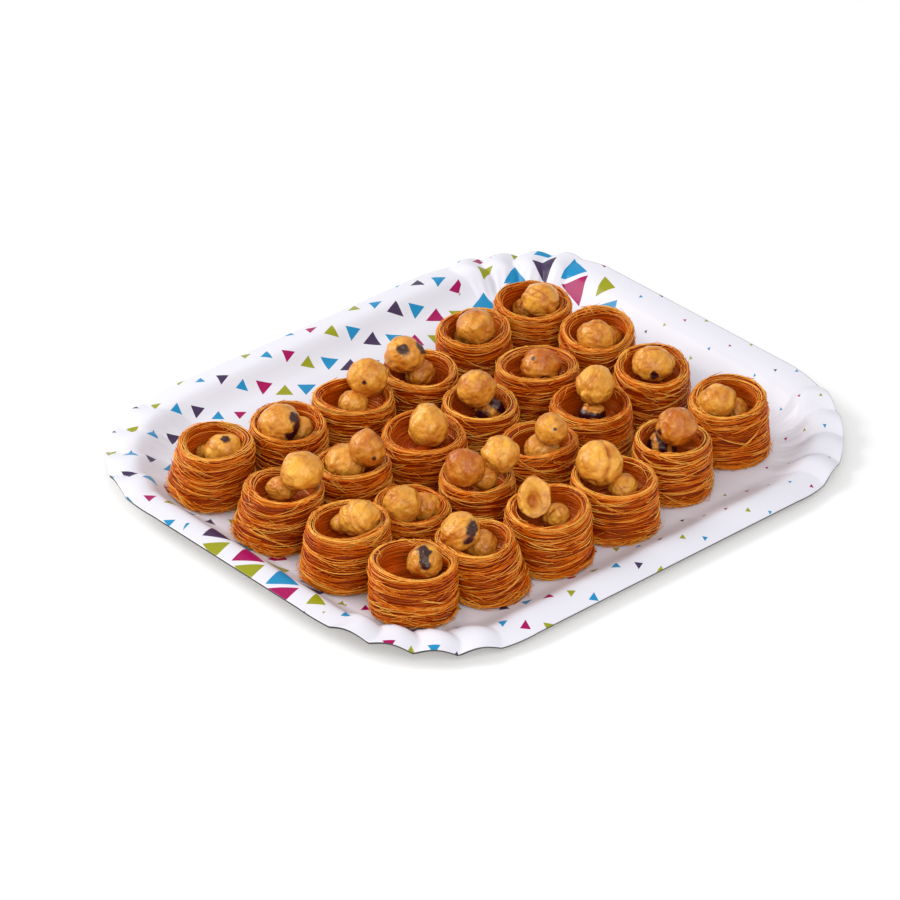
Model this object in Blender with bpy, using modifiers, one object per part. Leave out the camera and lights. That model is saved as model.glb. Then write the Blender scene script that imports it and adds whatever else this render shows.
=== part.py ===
"""Asawer kunafa: twenty-four shredded-pastry nests filled with whole nuts, on a printed board tray.

Metres, +Z up. The origin is the middle of the tray's underside, +X runs along its longer side.
"""
import math

import bmesh
import bpy
import numpy as np
from mathutils import Vector
from mathutils.bvhtree import BVHTree

MM = 0.001

# Clearance between pieces that touch, and how far two nuts sink into each other
GAP = 0.35 * MM
FUSED = 0.90

# Tray: the crease round its flat floor, and the rolled rim outside it
BOARD = 0.9 * MM
CREASE_HALF_X = 129.0 * MM
CREASE_HALF_Y = 106.7 * MM
CREASE_RADII = {(-1, -1): 46 * MM, (1, -1): 46 * MM, (1, 1): 36 * MM, (-1, 1): 64 * MM}
RIM_OUT = np.array([-2, 0, 4, 9, 14, 17.5, 21, 26, 32]) * MM
RIM_UP = np.array([0, 0, 0.5, 2.4, 5.4, 6.9, 7.0, 6.0, 4.1]) * MM
SHORT_SIDE_TURN = math.radians(16)
FULL_FLUTE_OUT = 14 * MM
FLUTE_HEIGHT = 2.8 * MM
FLUTES = 4
FLUTE_ANGLE = math.radians(15.2)
FLUTE_STEPS = 4
TOPS_FADE = math.radians(8)
CORNER_DROP = 2.8 * MM

# Nests: sides of the turned form, and its wall
NEST_SIDES = 16
LIP_WALL = 3.0 * MM
LIP_ROUND = 1.5 * MM
FOOT_SPREAD = 1.5 * MM
FOOT_ROUND = 1.2 * MM
HOLLOW_DEPTH = 7.0 * MM
WALL_REACH = 5.5 * MM
NEIGHBOUR_REACH = 55 * MM

# How uneven the nests are: out of round by shares of the radius, the lip's waves, the wound strands
OVAL = 0.022
THREE_SIDED = 0.013
LIP_WAVE = 0.9 * MM
LIP_RIPPLE = 0.45 * MM
STRAND_RELIEF = 0.45 * MM
STRAND_WAVES = 7
STRAND_TWIST = 1.1 * MM

# Each nest by column and row: centre of its rim (x, y), height, radius, floor of its hollow,
# and its nuts in the order they were put in (x and y from the centre, radius), all in mm
NESTS = {
    (1, 1): (-110.6, 54.0, 28.8, 18.3, 11.0, [(0.9, 9.6, 4.4), (5.3, -4.8, 8.6)]),
    (1, 2): (-110.4, 4.2, 27.5, 19.2, 16.0, [(0.3, 3.5, 6.6), (6.2, -4.4, 9.8)]),
    (1, 3): (-110.5, -40.4, 29.5, 19.8, 16.0, [(2.8, 8.2, 5.2), (5.4, -2.1, 8.9)]),
    (1, 4): (-109.5, -84.0, 28.5, 20.1, 13.5, [(6.7, -0.3, 8.2)]),
    (2, 1): (-73.3, 45.9, 27.8, 18.8, 13.0, [(6.7, -1.1, 6.6), (-5.5, -0.7, 9.6)]),
    (2, 2): (-73.1, 0.0, 27.2, 18.4, 11.0, [(0.2, 4.9, 9.0), (4.9, -5.4, 8.4)]),
    (2, 3): (-73.5, -42.0, 23.4, 17.8, 12.0, [(6.5, -2.5, 6.8), (-6.0, -0.5, 8.6)]),
    (2, 4): (-74.2, -85.7, 26.5, 19.0, 12.5, [(3.5, -1.0, 7.6), (-7.0, 1.5, 8.9)]),
    (3, 1): (-33.8, 44.6, 27.3, 19.5, 14.5, [(0.0, 0.0, 7.0), (11.2, 0.8, 8.9)]),
    (3, 2): (-31.0, -3.1, 27.3, 20.2, 18.5, [(2.4, -0.3, 9.5)]),
    (3, 3): (-36.3, -46.2, 26.1, 18.3, 16.5, [(2.0, -2.5, 6.4), (-8.0, 0.0, 8.8), (10.5, -4.5, 8.8)]),
    (3, 4): (-33.0, -91.3, 28.4, 20.0, 13.5, [(4.3, -0.5, 6.6), (-3.7, 5.4, 9.3)]),
    (4, 1): (6.3, 42.5, 26.8, 19.2, 11.0, [(4.5, 4.5, 7.6), (-3.5, 6.5, 9.0)]),
    (4, 2): (7.5, 0.1, 27.4, 18.8, 11.0, [(6.0, -0.6, 7.0), (0.5, 3.5, 9.3)]),
    (4, 3): (5.1, -43.7, 27.2, 18.5, 11.5, [(1.1, -1.2, 8.6), (2.1, -6.2, 7.6)]),
    (4, 4): (8.9, -91.3, 27.3, 20.2, 14.0, [(1.8, -4.4, 6.8), (-4.4, 7.2, 10.6)]),
    (5, 1): (50.1, 51.5, 28.6, 18.5, 11.5, [(0.8, 8.0, 5.5), (0.4, -0.6, 9.2)]),
    (5, 2): (48.4, 4.5, 30.0, 19.7, 17.5, [(2.0, -0.5, 9.0)]),
    (5, 3): (45.6, -36.9, 28.1, 19.5, 11.5, [(2.2, 1.9, 6.8), (5.4, 3.5, 9.3)]),
    (5, 4): (52.2, -85.4, 28.1, 18.8, 12.5, [(-1.3, 5.4, 7.2), (0.2, -1.3, 9.3)]),
    (6, 1): (88.0, 50.4, 30.3, 18.9, 13.0, [(1.5, 7.4, 6.2), (2.8, -2.6, 8.7)]),
    (6, 2): (91.6, 8.4, 31.1, 18.4, 13.5, [(7.5, -1.7, 6.0), (-4.1, -3.7, 8.7)]),
    (6, 3): (88.3, -34.2, 30.1, 18.7, 19.0, [(1.5, 1.5, 9.3)]),
    (6, 4): (93.8, -79.9, 31.2, 18.5, 13.5, [(5.0, 0.3, 6.4), (-6.0, 1.2, 9.0)]),
}

# The nests that stand askew: how far the foot is from under the rim (x, y), how much wider it
# spreads than the others, and how much the lip rises towards the far corner, all in mm
SHAPES = {
    (1, 1): (-2.5, 2.0, 1.5, 0.0),
    (1, 2): (-3.6, 3.4, 0.5, -0.8),
    (1, 3): (-0.8, 1.6, 0.3, -1.0),
    (1, 4): (0.0, 0.0, -1.6, 0.0),
    (2, 4): (4.2, -5.0, 0.8, 0.0),
    (3, 4): (0.3, -0.5, 0.4, 0.0),
    (6, 1): (0.0, 0.0, 0.0, 1.0),
    (6, 2): (0.0, 0.0, 0.0, 2.8),
    (6, 3): (0.5, 0.5, 0.0, 1.7),
    (6, 4): (0.8, 0.0, 0.6, 2.5),
}
UPRIGHT = (0.0, 0.0, 0.0, 0.0)
FAR_CORNER = math.radians(48)

# The nut that is split in two, and the way its flat side looks
SPLIT_NUT = (3, 4)
SPLIT_FACING = Vector((-0.45, -0.65, 0.61))
SPLIT_DEPTH = 0.35


def clear_scene():
    """Removes whatever objects the scene starts with."""
    for item in list(bpy.data.objects):
        bpy.data.objects.remove(item, do_unlink=True)


def make_material(name, colour, roughness):
    """A plain Principled material."""
    material = bpy.data.materials.new(name)
    material.use_nodes = True
    shader = material.node_tree.nodes["Principled BSDF"]
    shader.inputs["Base Color"].default_value = (*colour, 1)
    shader.inputs["Roughness"].default_value = roughness
    shader.inputs["Metallic"].default_value = 0
    return material


def add_object(name, mesh, collection, material):
    """Puts a mesh into the collection as a named object, shaded smooth but for its sharp edges."""
    item = bpy.data.objects.new(name, mesh)
    collection.objects.link(item)
    mesh.materials.clear()
    mesh.materials.append(material)
    mesh.shade_smooth()
    mesh.set_sharp_from_angle(angle=math.radians(40))
    return item


def baked_mesh(item):
    """The object's mesh with its modifiers applied."""
    graph = bpy.context.evaluated_depsgraph_get()
    return bpy.data.meshes.new_from_object(item.evaluated_get(graph))


def read_points(mesh):
    points = np.empty(len(mesh.vertices) * 3)
    mesh.vertices.foreach_get("co", points)
    return points.reshape(-1, 3)


def write_points(mesh, points):
    mesh.vertices.foreach_set("co", points.ravel())
    mesh.update()


def hump(corner_angle):
    """Rounded flutes with sharp valleys between them, 0 to 1, about the middle of a corner."""
    first = math.pi / 4 - FLUTES * FLUTE_ANGLE / 2
    inside = (corner_angle >= first - 1e-6) & (corner_angle <= math.pi / 2 - first + 1e-6)
    return np.where(inside, np.abs(np.sin(math.pi * (corner_angle - first) / FLUTE_ANGLE)), 0)


def flute_tops(corner_angle):
    """One all along the flutes of a corner, and down to nothing beside them."""
    beyond = np.abs(corner_angle - math.pi / 4) - FLUTES * FLUTE_ANGLE / 2
    return np.clip(1 - beyond / TOPS_FADE, 0, 1)


def fluting(out, lifted, normal):
    """How much a corner raises or lowers the rim, from nothing at the crease to the full amount."""
    grown = np.clip(out / FULL_FLUTE_OUT, 0, 1)
    return grown * (FLUTE_HEIGHT * lifted - CORNER_DROP * 2 * np.abs(normal[:, 0] * normal[:, 1]))


def crease_line():
    """The rounded outline of the floor: points, outward normals and the angle within each corner."""
    first = math.pi / 4 - FLUTES * FLUTE_ANGLE / 2
    middle = np.linspace(first, math.pi / 2 - first, FLUTES * FLUTE_STEPS + 1)
    angles = np.concatenate([[0], middle, [math.pi / 2]])
    points, normals, corner_angles = [], [], []
    for quarter, (side_x, side_y) in enumerate([(1, 1), (-1, 1), (-1, -1), (1, -1)]):
        radius = CREASE_RADII[side_x, side_y]
        centre = np.array([side_x * (CREASE_HALF_X - radius), side_y * (CREASE_HALF_Y - radius)])
        turn = angles + quarter * math.pi / 2
        normal = np.column_stack([np.cos(turn), np.sin(turn)])
        points.append(centre + radius * normal)
        normals.append(normal)
        corner_angles.append(angles)
    return np.vstack(points), np.vstack(normals), np.concatenate(corner_angles)


def rim_rise(x, y):
    """Height over the tray's floor of a piece that rests on the flutes' tops, a little past the crease."""
    radius = np.select([(x < 0) & (y < 0), (x >= 0) & (y < 0), (x >= 0) & (y >= 0)],
                       [CREASE_RADII[-1, -1], CREASE_RADII[1, -1], CREASE_RADII[1, 1]], CREASE_RADII[-1, 1])
    past_x = np.abs(x) - CREASE_HALF_X + radius
    past_y = np.abs(y) - CREASE_HALF_Y + radius
    corner = np.hypot(np.maximum(past_x, 0), np.maximum(past_y, 0))
    out = np.maximum(corner + np.minimum(np.maximum(past_x, past_y), 0) - radius, 0)
    normal = np.column_stack([np.maximum(past_x, 0), np.maximum(past_y, 0)]) / np.maximum(corner, 1e-6)[:, None]
    odd_quarter = (x < 0) != (y < 0)
    along = np.arctan2(np.where(odd_quarter, normal[:, 0], normal[:, 1]),
                       np.where(odd_quarter, normal[:, 1], normal[:, 0]))
    rolled = np.interp(out, RIM_OUT, RIM_UP) + out * np.sin(SHORT_SIDE_TURN * normal[:, 0] ** 2)
    return rolled + fluting(out, flute_tops(along), normal)


def make_tray(collection, material):
    """Rings of the rim profile carried round the crease, turned up more at the short sides."""
    points, normals, corner_angles = crease_line()
    count = len(points)
    turn = SHORT_SIDE_TURN * normals[:, 0] ** 2
    rings = []
    for out, up in zip(RIM_OUT, RIM_UP):
        if out < 0:
            turned_out, height = np.full(count, out), np.zeros(count)
        else:
            turned_out = out * np.cos(turn) - up * np.sin(turn)
            height = out * np.sin(turn) + up * np.cos(turn)
            height += fluting(np.full(count, out), hump(corner_angles), normals)
        rings.append(np.column_stack([points + normals * turned_out[:, None], height + BOARD]))
    faces = [tuple(range(count))]
    for ring in range(len(rings) - 1):
        inner, outer = ring * count, (ring + 1) * count
        for k in range(count):
            after = (k + 1) % count
            faces.append((inner + k, outer + k, outer + after, inner + after))
    mesh = bpy.data.meshes.new("tray")
    mesh.from_pydata(np.vstack(rings).tolist(), [], faces)
    tray = add_object("tray", mesh, collection, material)
    shell = tray.modifiers.new("Board", "SOLIDIFY")
    shell.thickness = BOARD
    shell.offset = -1
    return tray


def nest_profile(key):
    """The nest from the middle of its hollow over the lip and down its outer side to its foot."""
    radius, height, floor = (NESTS[key][n] * MM for n in (3, 2, 4))
    wider = SHAPES.get(key, UPRIGHT)[2] * MM
    foot = radius + FOOT_SPREAD + wider
    return [
        (0, floor),
        (radius - 5 * MM, floor + 1.2 * MM),
        (radius - LIP_WALL - 0.4 * MM, height - HOLLOW_DEPTH),
        (radius - LIP_WALL, height - 1.3 * MM),
        (radius - LIP_ROUND, height),
        (radius, height - 2 * MM),
        (radius + 0.6 * MM + 0.4 * wider, 0.45 * height),
        (foot, GAP + FOOT_ROUND),
        (foot - 2.2 * MM, GAP),
        (0, GAP),
    ]


def turned_mesh(name, profile):
    """A profile turned about the Z axis."""
    line = bpy.data.meshes.new(name)
    line.from_pydata([(r, 0, z) for r, z in profile], [(k, k + 1) for k in range(len(profile) - 1)], [])
    item = bpy.data.objects.new(name, line)
    bpy.context.scene.collection.objects.link(item)
    screw = item.modifiers.new("Turn", "SCREW")
    screw.axis = "Z"
    screw.angle = math.tau
    screw.steps = NEST_SIDES
    screw.render_steps = NEST_SIDES
    screw.use_merge_vertices = True
    screw.merge_threshold = 0.00001
    mesh = baked_mesh(item)
    bpy.data.objects.remove(item, do_unlink=True)
    bpy.data.meshes.remove(line)
    return mesh


def foot_axis(key, height_above):
    """The nest's axis at given heights: under the rim's centre, and leaning towards its foot."""
    x, y, height = np.array(NESTS[key][:3]) * MM
    lean = np.array(SHAPES.get(key, UPRIGHT)[:2]) * MM
    low = 1 - np.clip(height_above / height, 0, 1)
    return np.array([x, y]) + low[:, None] * lean


def bend_nest(points, profile, key):
    """Uneven walls and lip, the lean of the foot, flats where neighbours press, and the tray's slope."""
    radius, height = NESTS[key][3] * MM, NESTS[key][2] * MM
    phase = 2.4 * key[0] + 1.7 * key[1]
    out = np.hypot(points[:, 0], points[:, 1])
    angle = np.arctan2(points[:, 1], points[:, 0])
    up = points[:, 2].copy()
    side = np.array(profile[4:9])[::-1]
    depth = np.maximum(np.interp(up, side[:, 1], side[:, 0]) - out, 0)
    swell = 1 + OVAL * np.sin(2 * angle + phase) + THREE_SIDED * np.sin(3 * angle + 2.3 * phase)
    on_wall = out > radius - WALL_REACH
    wound = out * swell + on_wall * STRAND_RELIEF * np.sin(STRAND_WAVES * angle + up / STRAND_TWIST + phase)
    bent = np.column_stack([wound * np.cos(angle), wound * np.sin(angle), up])
    near_lip = np.clip(up / height, 0, 1) ** 2 * np.clip(out / (radius - 4 * MM), 0, 1)
    waves = LIP_WAVE * np.sin(angle + 1.9 * phase) + LIP_RIPPLE * np.sin(2 * angle + 2.9 * phase)
    waves += SHAPES.get(key, UPRIGHT)[3] * MM * np.cos(angle - FAR_CORNER)
    bent[:, 2] += near_lip * waves
    own_axis = foot_axis(key, up)
    for other, row in NESTS.items():
        apart = foot_axis(other, up) - own_axis
        distance = np.hypot(apart[:, 0], apart[:, 1])
        if other == key or distance.min() > NEIGHBOUR_REACH:
            continue
        towards = apart / distance[:, None]
        share = distance * radius / (radius + row[3] * MM) - GAP / 2
        over = (bent[:, :2] * towards).sum(axis=1) - (share - depth)
        over = np.where(depth < WALL_REACH, np.maximum(over, 0), 0)
        bent[:, :2] -= towards * over[:, None]
    bent[:, :2] += own_axis
    bent[:, 2] += rim_rise(bent[:, 0], bent[:, 1]) * (1 - np.clip(up / height, 0, 1)) + BOARD
    return bent


def make_nest(key, collection, material):
    profile = nest_profile(key)
    name = "nest_%d%d" % key
    mesh = turned_mesh(name, profile)
    write_points(mesh, bend_nest(read_points(mesh), profile, key))
    return add_object(name, mesh, collection, material)


def settle(x, y, radius, nest, placed):
    """Lowers a nut until it meets the nest, or sinks a little way into a nut already there."""
    step = 0.05 * MM
    centre = Vector((x, y, 60 * MM))
    while centre.z > radius:
        lower = centre - Vector((0, 0, step))
        if nest.find_nearest(lower)[3] < radius + GAP:
            break
        if any((lower - other).length < (radius + size) * FUSED for other, size in placed):
            break
        centre = lower
    return centre


def slide_together(centre, radius, nest, placed):
    """Moves a nut that stands apart sideways, until it meets the nearest of those already there."""
    step = 0.1 * MM
    for _ in range(200):
        other, size = min(placed, key=lambda nut: (centre - nut[0]).length - nut[1] * FUSED)
        if (centre - other).length <= (radius + size) * FUSED + step:
            break
        way = (other - centre).xy.normalized() * step
        centre = settle(centre.x + way.x, centre.y + way.y, radius, nest, placed)
    return centre


def nut_mesh(name, centre, radius, split):
    """A round nut with few sides; of a split one, the half beyond its flat side is cut away."""
    shape = bmesh.new()
    bmesh.ops.create_icosphere(shape, subdivisions=2, radius=radius)
    if split:
        facing = SPLIT_FACING.normalized()
        cut = bmesh.ops.bisect_plane(shape, geom=shape.verts[:] + shape.edges[:] + shape.faces[:],
                                     plane_co=facing * radius * SPLIT_DEPTH, plane_no=facing, clear_outer=True)
        rim = [edge for edge in cut["geom_cut"] if isinstance(edge, bmesh.types.BMEdge)]
        bmesh.ops.contextual_create(shape, geom=rim)
        bmesh.ops.recalc_face_normals(shape, faces=shape.faces[:])
    bmesh.ops.translate(shape, verts=shape.verts[:], vec=centre)
    mesh = bpy.data.meshes.new(name)
    shape.to_mesh(mesh)
    shape.free()
    return mesh


def make_nuts(key, nest_item, collection, material):
    """The nuts of one nest, settled in its hollow and fused where they touch."""
    centre_x, centre_y = NESTS[key][:2]
    nest = BVHTree.FromObject(nest_item, bpy.context.evaluated_depsgraph_get())
    name = "nuts_%d%d" % key
    placed = []
    pieces = []
    for order, (x, y, radius) in enumerate(NESTS[key][5]):
        radius *= MM
        centre = settle((centre_x + x) * MM, (centre_y + y) * MM, radius, nest, placed)
        if placed:
            centre = slide_together(centre, radius, nest, placed)
        placed.append((centre, radius))
        split = key == SPLIT_NUT and order == 1
        pieces.append(bpy.data.objects.new(name + "_%d" % order, nut_mesh(name, centre, radius, split)))
    first, others = pieces[0], pieces[1:]
    heap = bpy.data.collections.new(name)
    bpy.context.scene.collection.children.link(heap)
    bpy.context.scene.collection.objects.link(first)
    for piece in others:
        heap.objects.link(piece)
    if others:
        union = first.modifiers.new("Fuse", "BOOLEAN")
        union.operation = "UNION"
        union.operand_type = "COLLECTION"
        union.collection = heap
        union.solver = "EXACT"
    bpy.context.view_layer.update()
    mesh = baked_mesh(first)
    for piece in pieces:
        bpy.data.objects.remove(piece, do_unlink=True)
    bpy.data.collections.remove(heap)
    return add_object(name, mesh, collection, material)


def main():
    clear_scene()
    collection = bpy.data.collections.new("asawer_kunafa")
    bpy.context.scene.collection.children.link(collection)
    board = make_material("printed_board", (0.83, 0.82, 0.86), 0.45)
    make_tray(collection, board)
    for key in NESTS:
        pastry = make_material("pastry_%d%d" % key, (0.62, 0.27, 0.07), 0.45)
        nest = make_nest(key, collection, pastry)
        nutshell = make_material("roasted_nut_%d%d" % key, (0.66, 0.36, 0.17), 0.35)
        make_nuts(key, nest, collection, nutshell)


main()
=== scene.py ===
"""Looks of a tray of asawer kunafa: wound pastry nests, roasted nuts and a printed board tray.

Everything is in metres in the frame's own axes, +Z up, with +X along the tray's longer side.
"""
import math
from typing import NamedTuple

import bpy
import numpy as np
from bpy.props import FloatProperty, FloatVectorProperty, IntProperty, PointerProperty
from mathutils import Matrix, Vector
from mathutils.bvhtree import BVHTree


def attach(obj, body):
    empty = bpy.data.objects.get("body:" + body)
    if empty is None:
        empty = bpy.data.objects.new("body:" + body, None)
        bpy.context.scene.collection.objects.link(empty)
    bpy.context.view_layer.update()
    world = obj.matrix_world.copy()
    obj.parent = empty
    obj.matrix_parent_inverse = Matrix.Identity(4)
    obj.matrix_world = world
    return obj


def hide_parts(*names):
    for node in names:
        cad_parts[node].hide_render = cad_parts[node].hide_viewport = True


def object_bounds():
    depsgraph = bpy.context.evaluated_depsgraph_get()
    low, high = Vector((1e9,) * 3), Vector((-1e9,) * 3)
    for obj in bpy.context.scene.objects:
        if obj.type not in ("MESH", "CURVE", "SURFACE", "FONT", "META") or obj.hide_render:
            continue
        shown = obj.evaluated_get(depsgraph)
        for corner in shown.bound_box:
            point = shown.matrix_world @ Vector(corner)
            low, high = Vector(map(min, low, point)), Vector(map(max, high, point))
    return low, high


bl_info = {
    "name": "Asawer Kunafa Tray",
    "version": (1, 0, 0),
    "blender": (4, 5, 0),
    "location": "3D View > Sidebar > Kunafa",
    "description": "Wound pastry nests filled with roasted nuts on a printed board tray",
    "category": "Add Mesh",
}

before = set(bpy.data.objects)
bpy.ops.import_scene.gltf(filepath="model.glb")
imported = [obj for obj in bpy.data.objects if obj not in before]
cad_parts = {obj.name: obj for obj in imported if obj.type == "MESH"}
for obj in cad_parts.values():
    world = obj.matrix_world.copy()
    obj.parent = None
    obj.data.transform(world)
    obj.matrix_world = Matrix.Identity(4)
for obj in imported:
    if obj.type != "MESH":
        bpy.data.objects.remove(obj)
CAD_BOX = [list(corner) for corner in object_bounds()]

MM = 0.001
TAU = math.tau

# Clearance between pieces that touch, and how far two nuts sink into each other
GAP = 0.35 * MM
FUSED = 0.90

# Tray: the crease round its flat floor, and the rolled rim outside it
BOARD = 0.9 * MM
CREASE_HALF_X = 129.0 * MM
CREASE_HALF_Y = 106.7 * MM
CREASE_RADII = {(-1, -1): 46 * MM, (1, -1): 46 * MM, (1, 1): 36 * MM, (-1, 1): 64 * MM}
RIM_OUT = np.array([0, 4, 9, 14, 17.5, 21, 26, 32]) * MM
RIM_UP = np.array([0, 0.5, 2.4, 5.4, 6.9, 7.0, 6.0, 4.1]) * MM
SHORT_SIDE_TURN = math.radians(16)
FULL_FLUTE_OUT = 14 * MM
FLUTE_HEIGHT = 2.8 * MM
FLUTES = 4
FLUTE_ANGLE = math.radians(15.2)
TOPS_FADE = math.radians(8)
CORNER_DROP = 2.8 * MM

# Tray's mesh, how the flutes swing aside over the rim, and the fine waves pressed into them
CORNER_STEPS = 120
SIDE_STEPS = 24
RIM_RINGS = 44
FLUTE_SWING = math.radians(2.2)
FINE_HEIGHT = 0.22 * MM
FINE_REACH = 18 * MM
FINE_PER_FLUTE = 3
BACK_CLEARANCE = 0.01 * MM

# Nests: wall, lip and foot of the turned form
LIP_WALL = 3.0 * MM
LIP_ROUND = 1.5 * MM
FOOT_SPREAD = 1.5 * MM
FOOT_ROUND = 1.2 * MM
HOLLOW_DEPTH = 7.0 * MM
WALL_REACH = 5.5 * MM
NEIGHBOUR_REACH = 55 * MM
OVAL = 0.022
THREE_SIDED = 0.013
LIP_WAVE = 0.9 * MM
LIP_RIPPLE = 0.45 * MM
ROPE = 2.1 * MM
ROPE_STARTS = 2.6 * MM
ROPE_ENDS = 9.0 * MM

# Strands: how far under the turned form they usually lie and how far under it the core is, the sides
# of a strand, its tone at the usual depth, painted lighter per mm above it, and the core's painted shade
USUAL_LIFT = 0.50 * MM
CORE_BELOW = 1.15 * MM
CORE_COLUMNS = 72
STRAND_SIDES = 3
USUAL_TONE = 0.42
PAINTED_LIGHT_PER_MM = 0.74
CORE_SHADE_TONE = 0.13

# Wound strands: steps of one turn, its length in turns, the share that starts a new bundle, waves
# round the nest (order, size in mm) of bundles and of strands, and their painted light and calm on the lip
WOUND_STEPS = 34
WOUND_TURNS = 1.012
NEW_BUNDLE = 0.24
BUNDLE_DRIFT = ((1, 0.95), (2, 0.6), (3, 0.4), (5, 0.2))
STRAND_DRIFT = ((1, 0.6), (2, 0.45), (3, 0.35), (6, 0.16))
BUNDLE_LIFT = ((0, 0.16), (2, 0.12))
STRAND_LIFT = ((0, 0.2), (2, 0.16), (5, 0.1))
LIP_REACH = 2.4 * MM
LIP_PAINTED_LIGHT = 0.46
LIP_CALMER = 0.55

# Syrup at the foot of the wall, and the colour of the hollow: how far they reach and how strong they are
SOAKED_HEIGHT = 7 * MM
SOAKED_SHARE = 0.5
INSIDE_STARTS = 2.5 * MM
INSIDE_GROWS = 3 * MM
INSIDE_SHARE = 0.85

# Crossing strands: hanks, strands in each, steps of a strand, how far its ends are sunk and its middle rises
HANKS = 28
IN_HANK = 3
CROSSING_STEPS = 16
CROSSING_DRIFT = ((2.2, 0.4), (4, 0.2))
CROSSING_SUNK = 0.95 * MM
CROSSING_RISE = 0.92

# Loose strands: steps, how far their roots are sunk, their tone, and the draws under which they start
# at the foot or on the wall (the others start on the lip)
LOOSE_STEPS = 6
LOOSE_SUNK = 0.7 * MM
LOOSE_TONE = 0.76
FROM_FOOT = 0.36
FROM_WALL = 0.76

# Nuts: the steps and height of a nut let down into its nest, its mesh, its waves (how many, how
# close together and how high), how full it may swell and how deep its creases are, in radii
DROP_FROM = 60 * MM
DROP_STEP = 0.05 * MM
SLIDE_STEP = 0.1 * MM
SLIDES = 200
NUT_ROWS = 46
NUT_COLUMNS = 74
NUT_WAVES = ((7, 2.1, 0.016), (8, 5.0, 0.010), (8, 10.0, 0.004))
FULLEST = 1.14
CREASE_DEPTH = 0.085
TOP_CLEARANCE = 0.02 * MM

# Printed triangles: height over width, how much their widths vary, the widest as a share of the
# pitch, what spreads the draws of width, and the steps of ink from column to column and row to row
TALLNESS = 1.08
DRAW_SPREAD = 7.3
WIDTH_LEAST = 0.84
WIDTH_VARIES = 0.28
HALF_WIDEST = 0.485
INK_BY_COLUMN = 0.618
INK_BY_ROW = 0.37
INK_BY_SEED = 0.3

# Where the print is: the least width of a triangle; the centre and reach along x, then along y, of the
# areas where small triangles are wider (the long side behind the nests, the left end, the near side)
# and by how much; the areas with large ones (a short side, a corner), how wide those get, the width
# at which they take the place of the small ones, and the distances between the rows of both
SMALLEST = 1.9 * MM
SMALL_AREAS = (
    (0.075, 0.210, 0.103, 0.042, 8.2 * MM),
    (-0.145, 0.034, 0.030, 0.140, 5.0 * MM),
    (-0.090, 0.110, -0.128, 0.040, 3.6 * MM),
)
LARGE_AREAS = ((-0.148, 0.032, -0.022, 0.060), (0.126, 0.050, 0.080, 0.056))
LARGEST = 17.5 * MM
SWAP_OVER = 8.5 * MM
SMALL_ROWS = 24.0 * MM
LARGE_ROWS = 19.5 * MM

# Stage: the floor's half size and depth, and the lights' sizes and places
FLOOR_HALF = 3.0
FLOOR_DEPTH = 0.2 * MM
KEY_SIZE = 0.9
KEY_PLACE = Vector((-0.80, 1.10, 0.95))
FILL_SIZE = 1.2
FILL_PLACE = Vector((-0.70, -1.15, 1.10))

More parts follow.
